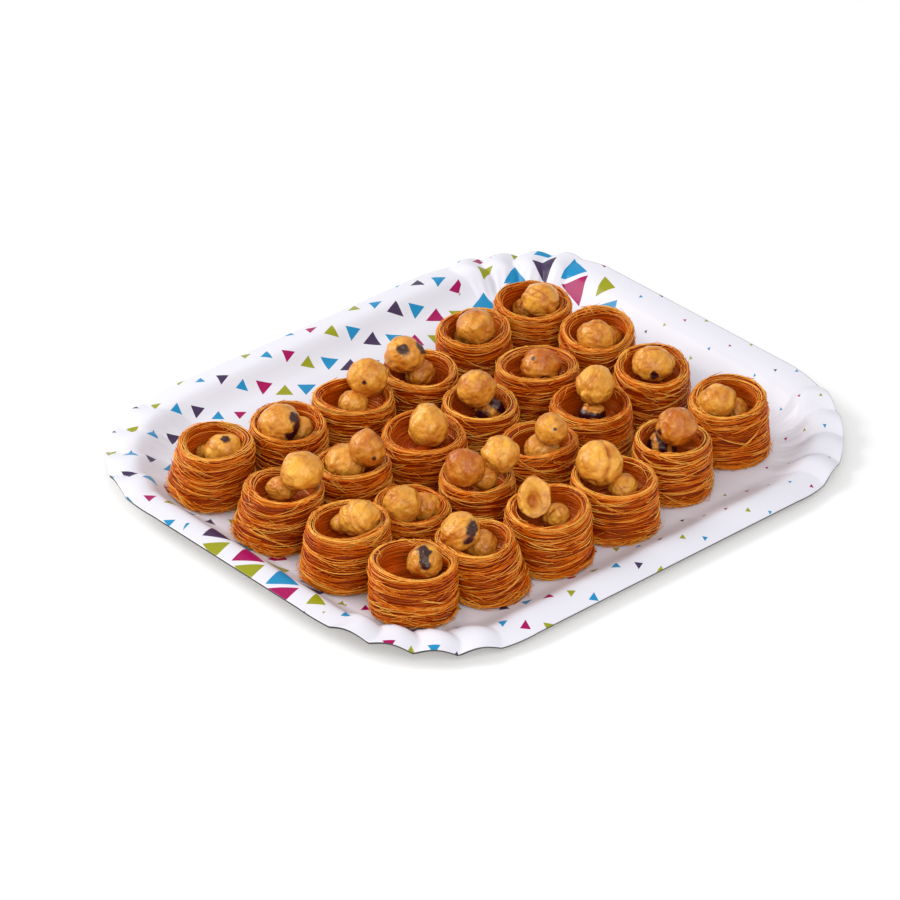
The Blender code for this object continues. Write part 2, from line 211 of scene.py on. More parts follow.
# Each nest by column and row: centre of its rim (x, y), height, radius, floor of its hollow,
# and its nuts in the order they were put in (x and y from the centre, radius), all in mm
NESTS = {
    (1, 1): (-110.6, 54.0, 28.8, 18.3, 11.0, [(0.9, 9.6, 4.4), (5.3, -4.8, 8.6)]),
    (1, 2): (-110.4, 4.2, 27.5, 19.2, 16.0, [(0.3, 3.5, 6.6), (6.2, -4.4, 9.8)]),
    (1, 3): (-110.5, -40.4, 29.5, 19.8, 16.0, [(2.8, 8.2, 5.2), (5.4, -2.1, 8.9)]),
    (1, 4): (-109.5, -84.0, 28.5, 20.1, 13.5, [(6.7, -0.3, 8.2)]),
    (2, 1): (-73.3, 45.9, 27.8, 18.8, 13.0, [(6.7, -1.1, 6.6), (-5.5, -0.7, 9.6)]),
    (2, 2): (-73.1, 0.0, 27.2, 18.4, 11.0, [(0.2, 4.9, 9.0), (4.9, -5.4, 8.4)]),
    (2, 3): (-73.5, -42.0, 23.4, 17.8, 12.0, [(6.5, -2.5, 6.8), (-6.0, -0.5, 8.6)]),
    (2, 4): (-74.2, -85.7, 26.5, 19.0, 12.5, [(3.5, -1.0, 7.6), (-7.0, 1.5, 8.9)]),
    (3, 1): (-33.8, 44.6, 27.3, 19.5, 14.5, [(0.0, 0.0, 7.0), (11.2, 0.8, 8.9)]),
    (3, 2): (-31.0, -3.1, 27.3, 20.2, 18.5, [(2.4, -0.3, 9.5)]),
    (3, 3): (-36.3, -46.2, 26.1, 18.3, 16.5, [(2.0, -2.5, 6.4), (-8.0, 0.0, 8.8), (10.5, -4.5, 8.8)]),
    (3, 4): (-33.0, -91.3, 28.4, 20.0, 13.5, [(4.3, -0.5, 6.6), (-3.7, 5.4, 9.3)]),
    (4, 1): (6.3, 42.5, 26.8, 19.2, 11.0, [(4.5, 4.5, 7.6), (-3.5, 6.5, 9.0)]),
    (4, 2): (7.5, 0.1, 27.4, 18.8, 11.0, [(6.0, -0.6, 7.0), (0.5, 3.5, 9.3)]),
    (4, 3): (5.1, -43.7, 27.2, 18.5, 11.5, [(1.1, -1.2, 8.6), (2.1, -6.2, 7.6)]),
    (4, 4): (8.9, -91.3, 27.3, 20.2, 14.0, [(1.8, -4.4, 6.8), (-4.4, 7.2, 10.6)]),
    (5, 1): (50.1, 51.5, 28.6, 18.5, 11.5, [(0.8, 8.0, 5.5), (0.4, -0.6, 9.2)]),
    (5, 2): (48.4, 4.5, 30.0, 19.7, 17.5, [(2.0, -0.5, 9.0)]),
    (5, 3): (45.6, -36.9, 28.1, 19.5, 11.5, [(2.2, 1.9, 6.8), (5.4, 3.5, 9.3)]),
    (5, 4): (52.2, -85.4, 28.1, 18.8, 12.5, [(-1.3, 5.4, 7.2), (0.2, -1.3, 9.3)]),
    (6, 1): (88.0, 50.4, 30.3, 18.9, 13.0, [(1.5, 7.4, 6.2), (2.8, -2.6, 8.7)]),
    (6, 2): (91.6, 8.4, 31.1, 18.4, 13.5, [(7.5, -1.7, 6.0), (-4.1, -3.7, 8.7)]),
    (6, 3): (88.3, -34.2, 30.1, 18.7, 19.0, [(1.5, 1.5, 9.3)]),
    (6, 4): (93.8, -79.9, 31.2, 18.5, 13.5, [(5.0, 0.3, 6.4), (-6.0, 1.2, 9.0)]),
}

# The nests that stand askew: how far the foot is from under the rim (x, y), how much wider it
# spreads than the others, and how much the lip rises towards the far corner, all in mm
SHAPES = {
    (1, 1): (-2.5, 2.0, 1.5, 0.0),
    (1, 2): (-3.6, 3.4, 0.5, -0.8),
    (1, 3): (-0.8, 1.6, 0.3, -1.0),
    (1, 4): (0.0, 0.0, -1.6, 0.0),
    (2, 4): (4.2, -5.0, 0.8, 0.0),
    (3, 4): (0.3, -0.5, 0.4, 0.0),
    (6, 1): (0.0, 0.0, 0.0, 1.0),
    (6, 2): (0.0, 0.0, 0.0, 2.8),
    (6, 3): (0.5, 0.5, 0.0, 1.7),
    (6, 4): (0.8, 0.0, 0.6, 2.5),
}
UPRIGHT = (0.0, 0.0, 0.0, 0.0)
FAR_CORNER = math.radians(48)

# The camera: where it looks from, its distance (in metres), how far it is moved aside and up, what it
# looks at, its lens and sensor in mm, and how far it sees; then the ways back to it, right and up
VIEW_AZIMUTH = math.radians(-41.9)
VIEW_ELEVATION = math.radians(31.68)
VIEW_DISTANCE = 2.4176
VIEW_ASIDE = -16.84 * MM
VIEW_RAISED = 3.88 * MM
VIEW_CENTRE = Vector((3.9, -7.75, 0.9)) * MM
LENS = 202.94
SENSOR = 36
VIEW_END = 20
BACK = Vector((math.sin(VIEW_AZIMUTH) * math.cos(VIEW_ELEVATION),
               -math.cos(VIEW_AZIMUTH) * math.cos(VIEW_ELEVATION), math.sin(VIEW_ELEVATION)))
RIGHT = Vector((math.cos(VIEW_AZIMUTH), math.sin(VIEW_AZIMUTH), 0))
UP = BACK.cross(RIGHT)


def facing(right, up):
    """The way out of a ball, towards the camera, that ends that far right and up of its middle, in radii."""
    return RIGHT * right + UP * up + BACK * math.sqrt(max(0, 1 - right ** 2 - up ** 2))


class Nut(NamedTuple):
    """How one nut looks; ways are given as the camera sees them, in radii right and up of its middle."""
    form: str = "round"
    tone: float = None      # from pale to deep, drawn where it isn't given
    tip: tuple = None       # where the tip points, drawn where it isn't given
    cleft: tuple = None     # where the cleft faces
    wide: float = 1.03
    tall: float = 1.0
    tip_size: float = 0.04
    patches: tuple = ()     # dark skin, as its way and its size
    # darkest marks a burnt nut, with dark skin over most of it.
    darkest: bool = False


# Nuts that differ from a plain round one, by nest and by order in it
NUT_LOOKS = {
    (1, 1, 0): Nut("lumpy", 0.45),
    (1, 1, 1): Nut("lumpy", 0.22, wide=1.10, patches=[(0.10, 0.66, 0.22)]),
    (1, 2, 0): Nut("lumpy", 0.35),
    (1, 2, 1): Nut("tip", 0.2, tip=(-0.55, 0.70), wide=1.05, tall=0.97, tip_size=0.07),
    (1, 3, 0): Nut("lumpy", 0.3),
    (1, 3, 1): Nut("folded", 0.12, cleft=(-0.45, 0.1), wide=1.06),
    (1, 4, 0): Nut("round", 0.35, tip=(0.0, 0.9),
                   patches=[(-0.02, 0.62, 0.36), (-0.02, 0.2, 0.32), (0.02, -0.2, 0.28)]),
    (2, 1, 1): Nut("round", 0.3, tip=(-0.8, 0.2), wide=1.06,
                   patches=[(0.78, 0.32, 0.36), (0.86, -0.15, 0.38), (0.55, -0.62, 0.3)]),
    (2, 2, 0): Nut("tip", 0.22, tip=(-0.5, 0.6), wide=1.08, tall=1.03, tip_size=0.06),
    (2, 2, 1): Nut("tip", 0.6, tip=(-0.05, 0.95), wide=1.04, tall=1.06, tip_size=0.13,
                   patches=[(0.35, -0.5, 0.10)]),
    (2, 3, 1): Nut("tip", 0.3, tip=(-0.45, 0.7), wide=1.08, tall=1.04, tip_size=0.06),
    (2, 4, 0): Nut("lumpy", 0.6),
    (2, 4, 1): Nut("folded", 0.35, cleft=(-0.3, -0.2), wide=1.02,
                   patches=[(0.68, 0.28, 0.32), (0.62, 0.0, 0.3), (0.45, -0.45, 0.3)]),
    (3, 1, 1): Nut("round", 0.3, tip=(0.3, 0.8), wide=1.12, tall=1.06, patches=[(-0.15, -0.28, 0.11)]),
    (3, 2, 0): Nut("tip", 0.3, tip=(-0.05, 0.95), wide=1.07, tall=1.06, tip_size=0.24),
    (3, 3, 0): Nut("tip", 0.4, tip=(0.1, 0.95), tip_size=0.18),
    (3, 3, 1): Nut("tip", 0.75, tip=(-0.2, 0.9), wide=1.08, tip_size=0.07),
    (3, 3, 2): Nut("tip", 0.08, tip=(0.2, -0.9), tip_size=0.10),
    (3, 4, 0): Nut("lumpy", 0.3),
    (3, 4, 1): Nut("half", 0.2, tip=(0.0, 0.97), wide=0.86, tall=1.0, tip_size=0.16),
    (4, 1, 0): Nut("lumpy", 0.6),
    (4, 1, 1): Nut("round", 0.3, tip=(-0.6, 0.3), wide=1.10,
                   patches=[(-0.05, 0.33, 0.28), (0.84, 0.42, 0.36)]),
    (4, 2, 0): Nut("lumpy", darkest=True),
    (4, 2, 1): Nut("round", 0.4, tip=(0.4, 0.7), wide=1.04),
    (4, 3, 0): Nut("round", 0.3, tip=(-0.9, 0.1)),
    (4, 3, 1): Nut("tip", 0.3, tip=(-0.3, 0.85), wide=1.05, patches=[(0.2, -0.05, 0.09)]),
    (4, 4, 0): Nut("lumpy", 0.35),
    (4, 4, 1): Nut("cleft", 0.2, wide=1.08, tall=0.97, tip=(0.05, 0.95), cleft=(0.35, 0.1)),
    (5, 1, 0): Nut("lumpy", 0.5),
    (5, 1, 1): Nut("round", 0.4, tip=(0.5, 0.5), wide=1.06),
    (5, 2, 0): Nut("cleft", 0.8, tip=(-0.1, 0.8), cleft=(0.9, 0.2), wide=1.10,
                   patches=[(-0.38, 0.42, 0.11), (0.15, -0.72, 0.26)]),
    (5, 3, 0): Nut("lumpy", darkest=True),
    (5, 3, 1): Nut("folded", 0.1, tip=(0.0, 0.95), cleft=(-0.2, -0.1)),
    (5, 4, 0): Nut("lumpy", darkest=True),
    (5, 4, 1): Nut("round", 0.75, tip=(0.2, 0.7), wide=1.06, patches=[(-0.8, -0.3, 0.16)]),
    (6, 1, 0): Nut("lumpy", 0.5),
    (6, 1, 1): Nut("folded", 0.25, cleft=(-0.1, 0.2), wide=1.06),
    (6, 2, 1): Nut("cleft", 0.45, tip=(0.2, 0.85), cleft=(0.9, -0.1), wide=1.06),
    (6, 3, 0): Nut("cleft", 0.2, tip=(-0.2, 0.8), cleft=(0.85, 0.4), wide=1.05,
                   patches=[(0.05, -0.6, 0.22)]),
    (6, 4, 0): Nut("lumpy", 0.6),
    (6, 4, 1): Nut("lumpy", 0.3, wide=1.06),
}


def colour_property(name, description, default):
    """A colour that can be set in the scene's own settings."""
    return FloatVectorProperty(name=name, description=description, default=default, size=3, min=0, max=1,
                               subtype="COLOR")


class KunafaPastryLook(bpy.types.PropertyGroup):
    """Strands and colours of the wound pastry."""
    strand_radius: FloatProperty(name="Strand radius", description="Half the thickness of a strand",
                                 default=0.22 * MM, unit="LENGTH")
    strand_spacing: FloatProperty(name="Strand spacing", description="Distance between neighbouring strands",
                                  default=0.41 * MM, unit="LENGTH")
    loose_ends: IntProperty(name="Loose ends", description="Short ends that stand off each nest", default=190)
    # Darkest colour: mostly painted shade in the gaps, taken by the core and by strands that lie deep.
    darkest: colour_property("Gap colour", "Deepest brown between the strands", (0.16, 0.010, 0.0008))
    deep: colour_property("Deep colour", "Red-brown of the baked strands", (0.43, 0.045, 0.0008))
    amber: colour_property("Amber colour", "Orange of most strands", (0.78, 0.155, 0.0012))
    gold: colour_property("Gold colour", "Palest strands", (1.0, 0.52, 0.09))
    inside: colour_property("Inside colour", "Smooth wall of the hollow", (0.68, 0.098, 0.001))
    foot: colour_property("Foot colour", "Syrup-soaked strands at the foot", (0.70, 0.225, 0.003))
    gloss: colour_property("Gloss tint", "Tint of the syrup's shine", (1.0, 0.60, 0.20))


class KunafaNutLook(bpy.types.PropertyGroup):
    """Colours of the roasted nuts."""
    pale: colour_property("Pale colour", "Blanched nut", (0.84, 0.385, 0.044))
    deep: colour_property("Deep colour", "Well roasted nut", (0.47, 0.105, 0.004))
    skin: colour_property("Skin colour", "Patches of skin left on", (0.035, 0.003, 0.009))
    gloss: colour_property("Gloss tint", "Tint of the syrup's shine", (1.0, 0.84, 0.55))


class KunafaTrayLook(bpy.types.PropertyGroup):
    """Print and board of the tray."""
    face: colour_property("Face colour", "Unprinted face", (0.755, 0.745, 0.81))
    back: colour_property("Back colour", "Underside of the board", (0.40, 0.37, 0.34))
    edge: colour_property("Edge colour", "Cut edge of the board", (0.055, 0.050, 0.050))
    blue: colour_property("Blue", "First printed colour", (0.010, 0.25, 0.50))
    olive: colour_property("Olive", "Second printed colour", (0.30, 0.31, 0.008))
    magenta: colour_property("Magenta", "Third printed colour", (0.36, 0.0, 0.095))
    plum: colour_property("Plum", "Fourth printed colour", (0.055, 0.032, 0.085))
    small_pitch: FloatProperty(name="Small pitch", description="Distance between small triangles",
                               default=10.5 * MM, unit="LENGTH")
    large_pitch: FloatProperty(name="Large pitch", description="Distance between large triangles",
                               default=16.0 * MM, unit="LENGTH")


class KunafaStageLook(bpy.types.PropertyGroup):
    """Floor and lights."""
    floor: colour_property("Floor colour", "Plain floor", (0.80, 0.80, 0.80))
    glow: FloatProperty(name="Floor glow", description="Light the floor gives off, as a lit table does",
                        default=0.19)
    key: FloatProperty(name="Key light", description="Power of the soft light from the left", default=18.0,
                       unit="POWER")
    fill: FloatProperty(name="Fill light", description="Power of the soft light from the camera's side",
                        default=14.0, unit="POWER")
    sky: FloatProperty(name="Surroundings", description="Brightness of the white surroundings", default=0.62)


def unit(vectors):
    """Vectors along the last axis, made of length one."""
    return vectors / np.maximum(np.linalg.norm(vectors, axis=-1, keepdims=True), 1e-12)


def band(rows, columns):
    """Quads of a grid whose rows are joined end to end; points run row by row."""
    row = np.arange(rows - 1)[:, None] * columns
    column = np.arange(columns)[None, :]
    after = (column + 1) % columns
    quads = np.stack([row + column, row + after, row + columns + after, row + columns + column], axis=-1)
    return quads.reshape(-1, 4)


def fan(ring, centre, flip=False):
    """Triangles from a ring of points to its centre point."""
    after = np.roll(ring, -1)
    middle = np.full(len(ring), centre)
    return np.stack([after, ring, middle] if flip else [ring, after, middle], axis=-1)


def rounded(corners):
    """A line through the given points with its corners cut three times over, and the distance along it."""
    for _ in range(3):
        cut = np.empty((2 * len(corners) - 2, 2))
        cut[0::2] = 0.75 * corners[:-1] + 0.25 * corners[1:]
        cut[1::2] = 0.25 * corners[:-1] + 0.75 * corners[1:]
        corners = np.vstack([corners[:1], cut, corners[-1:]])
    return corners, np.concatenate([[0], np.cumsum(np.hypot(*np.diff(corners, axis=0).T))])


def add_piece(name, points, quads, triangles, materials, replaced, values=None, uv=None):
    """A mesh from arrays of points, quads and triangles, with point values, riding on the tray's body."""
    mesh = bpy.data.meshes.new(name)
    quads = np.asarray(quads, dtype=np.int32).reshape(-1, 4)
    triangles = np.asarray(triangles, dtype=np.int32).reshape(-1, 3)
    corners = np.concatenate([quads.ravel(), triangles.ravel()])
    mesh.vertices.add(len(points))
    mesh.vertices.foreach_set("co", np.asarray(points, dtype=np.float32).ravel())
    mesh.loops.add(len(corners))
    mesh.loops.foreach_set("vertex_index", corners)
    starts = np.concatenate([np.arange(len(quads)) * 4,
                             len(quads) * 4 + np.arange(len(triangles)) * 3])
    mesh.polygons.add(len(starts))
    mesh.polygons.foreach_set("loop_start", starts.astype(np.int32))
    mesh.update(calc_edges=True)
    mesh.shade_smooth()
    for key, numbers in (values or {}).items():
        carried = mesh.attributes.new(key, "FLOAT", "POINT")
        carried.data.foreach_set("value", np.asarray(numbers, dtype=np.float32).ravel())
    if uv is not None:
        layer = mesh.uv_layers.new(name="sheet")
        layer.uv.foreach_set("vector", np.asarray(uv, dtype=np.float32)[corners].ravel())
    for material in materials:
        mesh.materials.append(material)
    piece = bpy.data.objects.new(name, mesh)
    bpy.context.scene.collection.objects.link(piece)
    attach(piece, "root")
    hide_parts(replaced)
    return piece


class Value:
    """A node's output, which can be worked with like a number."""

    def __init__(self, tree, socket):
        """Holds the shader tree and the output socket in it."""
        self.tree, self.socket = tree, socket

    def math(self, operation, *others):
        """A Math node on this value and others, each a Value or a number."""
        node = self.tree.nodes.new("ShaderNodeMath")
        node.operation = operation
        for socket, value in zip(node.inputs, (self, *others)):
            feed(socket, value)
        return Value(self.tree, node.outputs[0])

    def __add__(self, other):
        return self.math("ADD", other)

    def __sub__(self, other):
        return self.math("SUBTRACT", other)

    def __mul__(self, other):
        return self.math("MULTIPLY", other)

    def __truediv__(self, other):
        return self.math("DIVIDE", other)

    def scaled(self, factor, offset):
        """This value times a factor, plus an offset."""
        return self.math("MULTIPLY_ADD", factor, offset)

    def swung(self, size):
        """A value of 0 to 1 made to swing by that much in all, as far below nothing as above it."""
        return self.scaled(size, -size / 2)


def feed(socket, value):
    """Sets a socket to a number or colour, or links another node's output to it."""
    if isinstance(value, Value):
        value.tree.links.new(value.socket, socket)
    else:
        socket.default_value = value


def blend_colours(tree, factor, first, second, mode="MIX"):
    """A Mix node on two colours, each a Value or a triple."""
    node = tree.nodes.new("ShaderNodeMix")
    node.data_type = "RGBA"
    node.blend_type = mode
    feed(node.inputs["Factor"], factor)
    for name, value in (("A", first), ("B", second)):
        socket = next(s for s in node.inputs if s.name == name and s.type == "RGBA")
        feed(socket, value if isinstance(value, Value) else (*value, 1))
    return Value(tree, next(s for s in node.outputs if s.type == "RGBA"))


def attribute(tree, name):
    """One of the numbers that each point of the mesh carries."""
    node = tree.nodes.new("ShaderNodeAttribute")
    node.attribute_name = name
    return Value(tree, node.outputs["Fac"])


def noise(tree, scale, detail=2.0, vector=None):
    """A noise pattern on Object coordinates, or on the vector given."""
    node = tree.nodes.new("ShaderNodeTexNoise")
    node.inputs["Scale"].default_value = scale
    node.inputs["Detail"].default_value = detail
    if vector is None:
        vector = tree.nodes.new("ShaderNodeTexCoord").outputs["Object"]
    tree.links.new(vector, node.inputs["Vector"])
    return Value(tree, node.outputs["Fac"])


def ramp(factor, stops, constant=False):
    """A colour ramp with the given (place, colour) stops."""
    node = factor.tree.nodes.new("ShaderNodeValToRGB")
    node.color_ramp.interpolation = "CONSTANT" if constant else "LINEAR"
    elements = node.color_ramp.elements
    elements[0].position, elements[1].position = stops[0][0], stops[-1][0]
    elements[0].color, elements[1].color = (*stops[0][1], 1), (*stops[-1][1], 1)
    for place, colour in stops[1:-1]:
        elements.new(place).color = (*colour, 1)
    feed(node.inputs["Fac"], factor)
    return Value(factor.tree, node.outputs["Color"])


def bump(height, strength, distance):
    """Normals as if the surface rose and fell with the given height."""
    node = height.tree.nodes.new("ShaderNodeBump")
    node.inputs["Strength"].default_value = strength
    node.inputs["Distance"].default_value = distance
    feed(node.inputs["Height"], height)
    return Value(height.tree, node.outputs["Normal"])


def new_material(name, roughness, coat=0.0, coat_roughness=0.2, gloss=(1, 1, 1), specular=0.5):
    """A Principled material with its constant values set on its own sockets."""
    material = bpy.data.materials.new(name)
    material.use_nodes = True
    shader = material.node_tree.nodes["Principled BSDF"]
    shader.inputs["Roughness"].default_value = roughness
    shader.inputs["Coat Weight"].default_value = coat
    shader.inputs["Coat Roughness"].default_value = coat_roughness
    shader.inputs["Specular Tint"].default_value = (*gloss, 1)
    shader.inputs["Specular IOR Level"].default_value = specular
    return material, material.node_tree, shader.inputs


def grain(tree, fine, flat):
    """A noise pattern drawn out along the strands: fine in height, coarse in the other directions."""
    place = tree.nodes.new("ShaderNodeTexCoord").outputs["Object"]
    stretched = tree.nodes.new("ShaderNodeMapping")
    stretched.inputs["Scale"].default_value = (flat, flat, fine)
    tree.links.new(place, stretched.inputs["Vector"])
    return noise(tree, scale=1.0, detail=3, vector=stretched.outputs["Vector"])


def pastry_material(look):
    """Baked strands in syrup: a ramp on each one's tone, with painted light and shade by depth, redder in the
    hollow and golden at the foot.
    """
    material, tree, inputs = new_material("baked_pastry", roughness=0.25, gloss=look.gloss, specular=0.65)
    streaks = grain(tree, fine=2600, flat=160).swung(0.36)
    tone = attribute(tree, "tone") + streaks + noise(tree, scale=150).swung(0.36)
    # Its dark end is painted shade between the strands, its pale end painted light on strands that stand out.
    colour = ramp(tone, [(0.0, look.darkest), (0.30, look.deep), (0.62, look.amber), (1.0, look.gold)])
    colour = blend_colours(tree, attribute(tree, "inside"), colour, look.inside)
    colour = blend_colours(tree, attribute(tree, "soaked"), colour, look.foot)
    feed(inputs["Base Color"], colour)
    feed(inputs["Normal"], bump(grain(tree, fine=3200, flat=400), strength=0.5, distance=0.3 * MM))
    return material


def nut_material(look):
    """Blanched roasted nut: pale to deep with mottling, painted shade in the furrows of its wrinkles, and
    dark skin.
    """
    material, tree, inputs = new_material("roasted_nut", roughness=0.30, coat=0.26, coat_roughness=0.09,
                                          gloss=look.gloss)
    from_furrow = (noise(tree, scale=120, detail=1.5) - 0.5).math("ABSOLUTE")
    ridge = (from_furrow * 9.0).math("MINIMUM", 1.0)
    mottled = noise(tree, scale=150, detail=5).swung(2.1)
    # The tone rises in the wrinkles' furrows as painted shade.
    tone = attribute(tree, "tone") + mottled + ridge.scaled(-0.22, 0.18)
    colour = ramp(tone, [(0.0, look.pale), (1.0, look.deep)])
    skin = attribute(tree, "skin") + noise(tree, scale=330, detail=4).swung(1.1)
    edge = ramp(skin, [(0.32, (0, 0, 0)), (0.62, (1, 1, 1))])
    feed(inputs["Base Color"], blend_colours(tree, edge, colour, look.skin))
    height = ridge * 0.30 + noise(tree, scale=300, detail=4)
    feed(inputs["Normal"], bump(height, strength=0.9, distance=1.6 * MM))
    return material


def bell(value, centre, reach):
    """One at the centre and falling smoothly to nothing on both sides."""
    away = (value - centre) / reach
    return (away * away * -1.0).math("EXPONENT")


def lattice(tree, across, along, pitch, row_pitch, width, seed):
    """Rows of triangles, alternately up and down, of the given width: where they are, and each one's ink.

    Cells of one pitch by one row hold a triangle each, whose width varies a little by a random draw. The
    ink is a number of 0 to 1 that turns by fixed steps from cell to cell.
    """
    column_place, row_place = across / pitch, along / row_pitch
    column, row = column_place.math("FLOOR"), row_place.math("FLOOR")
    turned_over = (row + column).math("PINGPONG", 1).scaled(2, -1)
    x = (column_place.math("FRACT") - 0.5).math("ABSOLUTE")
    y = (row_place.math("FRACT") - 0.5) * (row_pitch / pitch) * turned_over
    cell = tree.nodes.new("ShaderNodeCombineXYZ")
    for name, value in (("X", column), ("Y", row), ("Z", seed)):
        feed(cell.inputs[name], value)
    pick = tree.nodes.new("ShaderNodeTexWhiteNoise")
    tree.links.new(cell.outputs["Vector"], pick.inputs["Vector"])
    draw = (Value(tree, pick.outputs["Value"]) * DRAW_SPREAD).math("FRACT")
    uneven = draw.scaled(WIDTH_VARIES, WIDTH_LEAST)
    half = (width * uneven * (0.5 / pitch)).math("MINIMUM", HALF_WIDEST)
    slope = half * 0.5 - y * (0.5 / TALLNESS)
    above_base = y.math("GREATER_THAN", half * (2 * TALLNESS) * -0.5)
    inside = slope.math("GREATER_THAN", x) * above_base
    turn = column * INK_BY_COLUMN + row.scaled(INK_BY_ROW, INK_BY_SEED * seed)
    return inside, turn.math("FRACT")


def flat_parts(tree, vector):
    """The first two parts of a vector output."""
    node = tree.nodes.new("ShaderNodeSeparateXYZ")
    tree.links.new(vector, node.inputs["Vector"])
    return Value(tree, node.outputs["X"]), Value(tree, node.outputs["Y"])


def print_material(look):
    """White face with rows of triangles: large on one short side and one corner, small along a long side."""
    material, tree, inputs = new_material("printed_face", roughness=0.34, coat=0.10, coat_roughness=0.12,
                                          specular=0.16)
    uv = tree.nodes.new("ShaderNodeUVMap")
    uv.uv_map = "sheet"
    x, y = flat_parts(tree, uv.outputs["UV"])
    turned = tree.nodes.new("ShaderNodeMapping")
    turned.inputs["Rotation"].default_value = (0, 0, -VIEW_AZIMUTH)
    tree.links.new(uv.outputs["UV"], turned.inputs["Vector"])
    across, along = flat_parts(tree, turned.outputs["Vector"])
    small = SMALLEST
    for x_centre, x_reach, y_centre, y_reach, wider in SMALL_AREAS:
        small = (bell(x, x_centre, x_reach) * bell(y, y_centre, y_reach)).scaled(wider, small)
    short_side, corner = (bell(x, area[0], area[1]) * bell(y, area[2], area[3]) for area in LARGE_AREAS)
    large = short_side.math("MAXIMUM", corner) * LARGEST
    small = small * large.math("LESS_THAN", SWAP_OVER)
    large = large * large.math("GREATER_THAN", SWAP_OVER)
    inks = [(0.0, look.blue), (0.33, look.olive), (0.62, look.plum), (0.82, look.magenta)]
    colour = look.face
    for pitch, row_pitch, width, seed in ((look.small_pitch, SMALL_ROWS, small, 1.0),
                                          (look.large_pitch, LARGE_ROWS, large, 5.0)):
        inside, ink = lattice(tree, across, along, pitch, row_pitch, width, seed)
        colour = blend_colours(tree, inside, colour, ramp(ink, inks, constant=True))
    feed(inputs["Base Color"], colour)
    feed(inputs["Normal"], bump(noise(tree, scale=900), strength=0.06, distance=0.2 * MM))
    return material


def board_material(name, colour, roughness):
    """Bare board with a little fibre."""
    material, tree, inputs = new_material(name, roughness)
    fibre = noise(tree, scale=1200, detail=3).scaled(0.5, 0.75)
    feed(inputs["Base Color"], blend_colours(tree, 1.0, colour, fibre, "MULTIPLY"))
    feed(inputs["Normal"], bump(noise(tree, scale=1500, detail=3), strength=0.3, distance=0.2 * MM))
    return material


def hump(corner_angle):
    """Rounded flutes with sharp valleys between them, 0 to 1, about the middle of a corner."""
    first = math.pi / 4 - FLUTES * FLUTE_ANGLE / 2
    inside = (corner_angle >= first - 1e-6) & (corner_angle <= math.pi / 2 - first + 1e-6)
    return np.where(inside, np.abs(np.sin(math.pi * (corner_angle - first) / FLUTE_ANGLE)), 0)


def flute_tops(corner_angle):
    """One all along the flutes of a corner, and down to nothing beside them."""
    beyond = np.abs(corner_angle - math.pi / 4) - FLUTES * FLUTE_ANGLE / 2
    return np.clip(1 - beyond / TOPS_FADE, 0, 1)


def fluting(out, lifted, normal):
    """How much a corner raises or lowers the rim, from nothing at the crease to the full amount."""
    grown = np.clip(out / FULL_FLUTE_OUT, 0, 1)
    return grown * (FLUTE_HEIGHT * lifted - CORNER_DROP * 2 * np.abs(normal[..., 0] * normal[..., 1]))


def rim_rise(x, y):
    """Height over the tray's floor of a piece that rests on the flutes' tops, a little past the crease."""
    radius = np.select([(x < 0) & (y < 0), (x >= 0) & (y < 0), (x >= 0) & (y >= 0)],
                       [CREASE_RADII[-1, -1], CREASE_RADII[1, -1], CREASE_RADII[1, 1]], CREASE_RADII[-1, 1])
    past_x = np.abs(x) - CREASE_HALF_X + radius
    past_y = np.abs(y) - CREASE_HALF_Y + radius
    corner = np.hypot(np.maximum(past_x, 0), np.maximum(past_y, 0))
    out = np.maximum(corner + np.minimum(np.maximum(past_x, past_y), 0) - radius, 0)
    outward = np.stack([np.maximum(past_x, 0), np.maximum(past_y, 0)], axis=-1)
    normal = outward / np.maximum(corner, 1e-6)[..., None]
    odd_quarter = (x < 0) != (y < 0)
    along = np.arctan2(np.where(odd_quarter, normal[..., 0], normal[..., 1]),
                       np.where(odd_quarter, normal[..., 1], normal[..., 0]))
    rolled = np.interp(out, RIM_OUT, RIM_UP) + out * np.sin(SHORT_SIDE_TURN * normal[..., 0] ** 2)
    return rolled + fluting(out, flute_tops(along), normal)


def crease_line():
    """The floor's rounded outline: points, outward normals and the angle within each corner, all round."""
    angles = np.linspace(0, math.pi / 2, CORNER_STEPS + 1)
    points, normals, corner_angles = [], [], []
    corners = [(1, 1), (-1, 1), (-1, -1), (1, -1)]
    centre = {(x, y): np.array([x * (CREASE_HALF_X - CREASE_RADII[x, y]),
                                y * (CREASE_HALF_Y - CREASE_RADII[x, y])]) for x, y in corners}
    for quarter, corner in enumerate(corners):
        turn = angles + quarter * math.pi / 2
        normal = np.column_stack([np.cos(turn), np.sin(turn)])
        arc = centre[corner] + CREASE_RADII[corner] * normal
        following = corners[(quarter + 1) % 4]
        start, end = arc[-1], centre[following] + CREASE_RADII[following] * normal[-1]
        share = np.linspace(0, 1, SIDE_STEPS + 2)[1:-1, None]
        points += [arc, start + (end - start) * share]
        normals += [normal, np.repeat(normal[-1:], SIDE_STEPS, axis=0)]
        corner_angles += [angles, np.zeros(SIDE_STEPS)]
    return np.vstack(points), np.vstack(normals), np.concatenate(corner_angles)


def smooth_rim():
    """The rim's profile through its named points, evenly divided: the distance along it, out and up."""
    corners, along = rounded(np.column_stack([RIM_OUT, RIM_UP]))
    even = np.linspace(0, along[-1], RIM_RINGS)
    return even, np.interp(even, along, corners[:, 0]), np.interp(even, along, corners[:, 1])


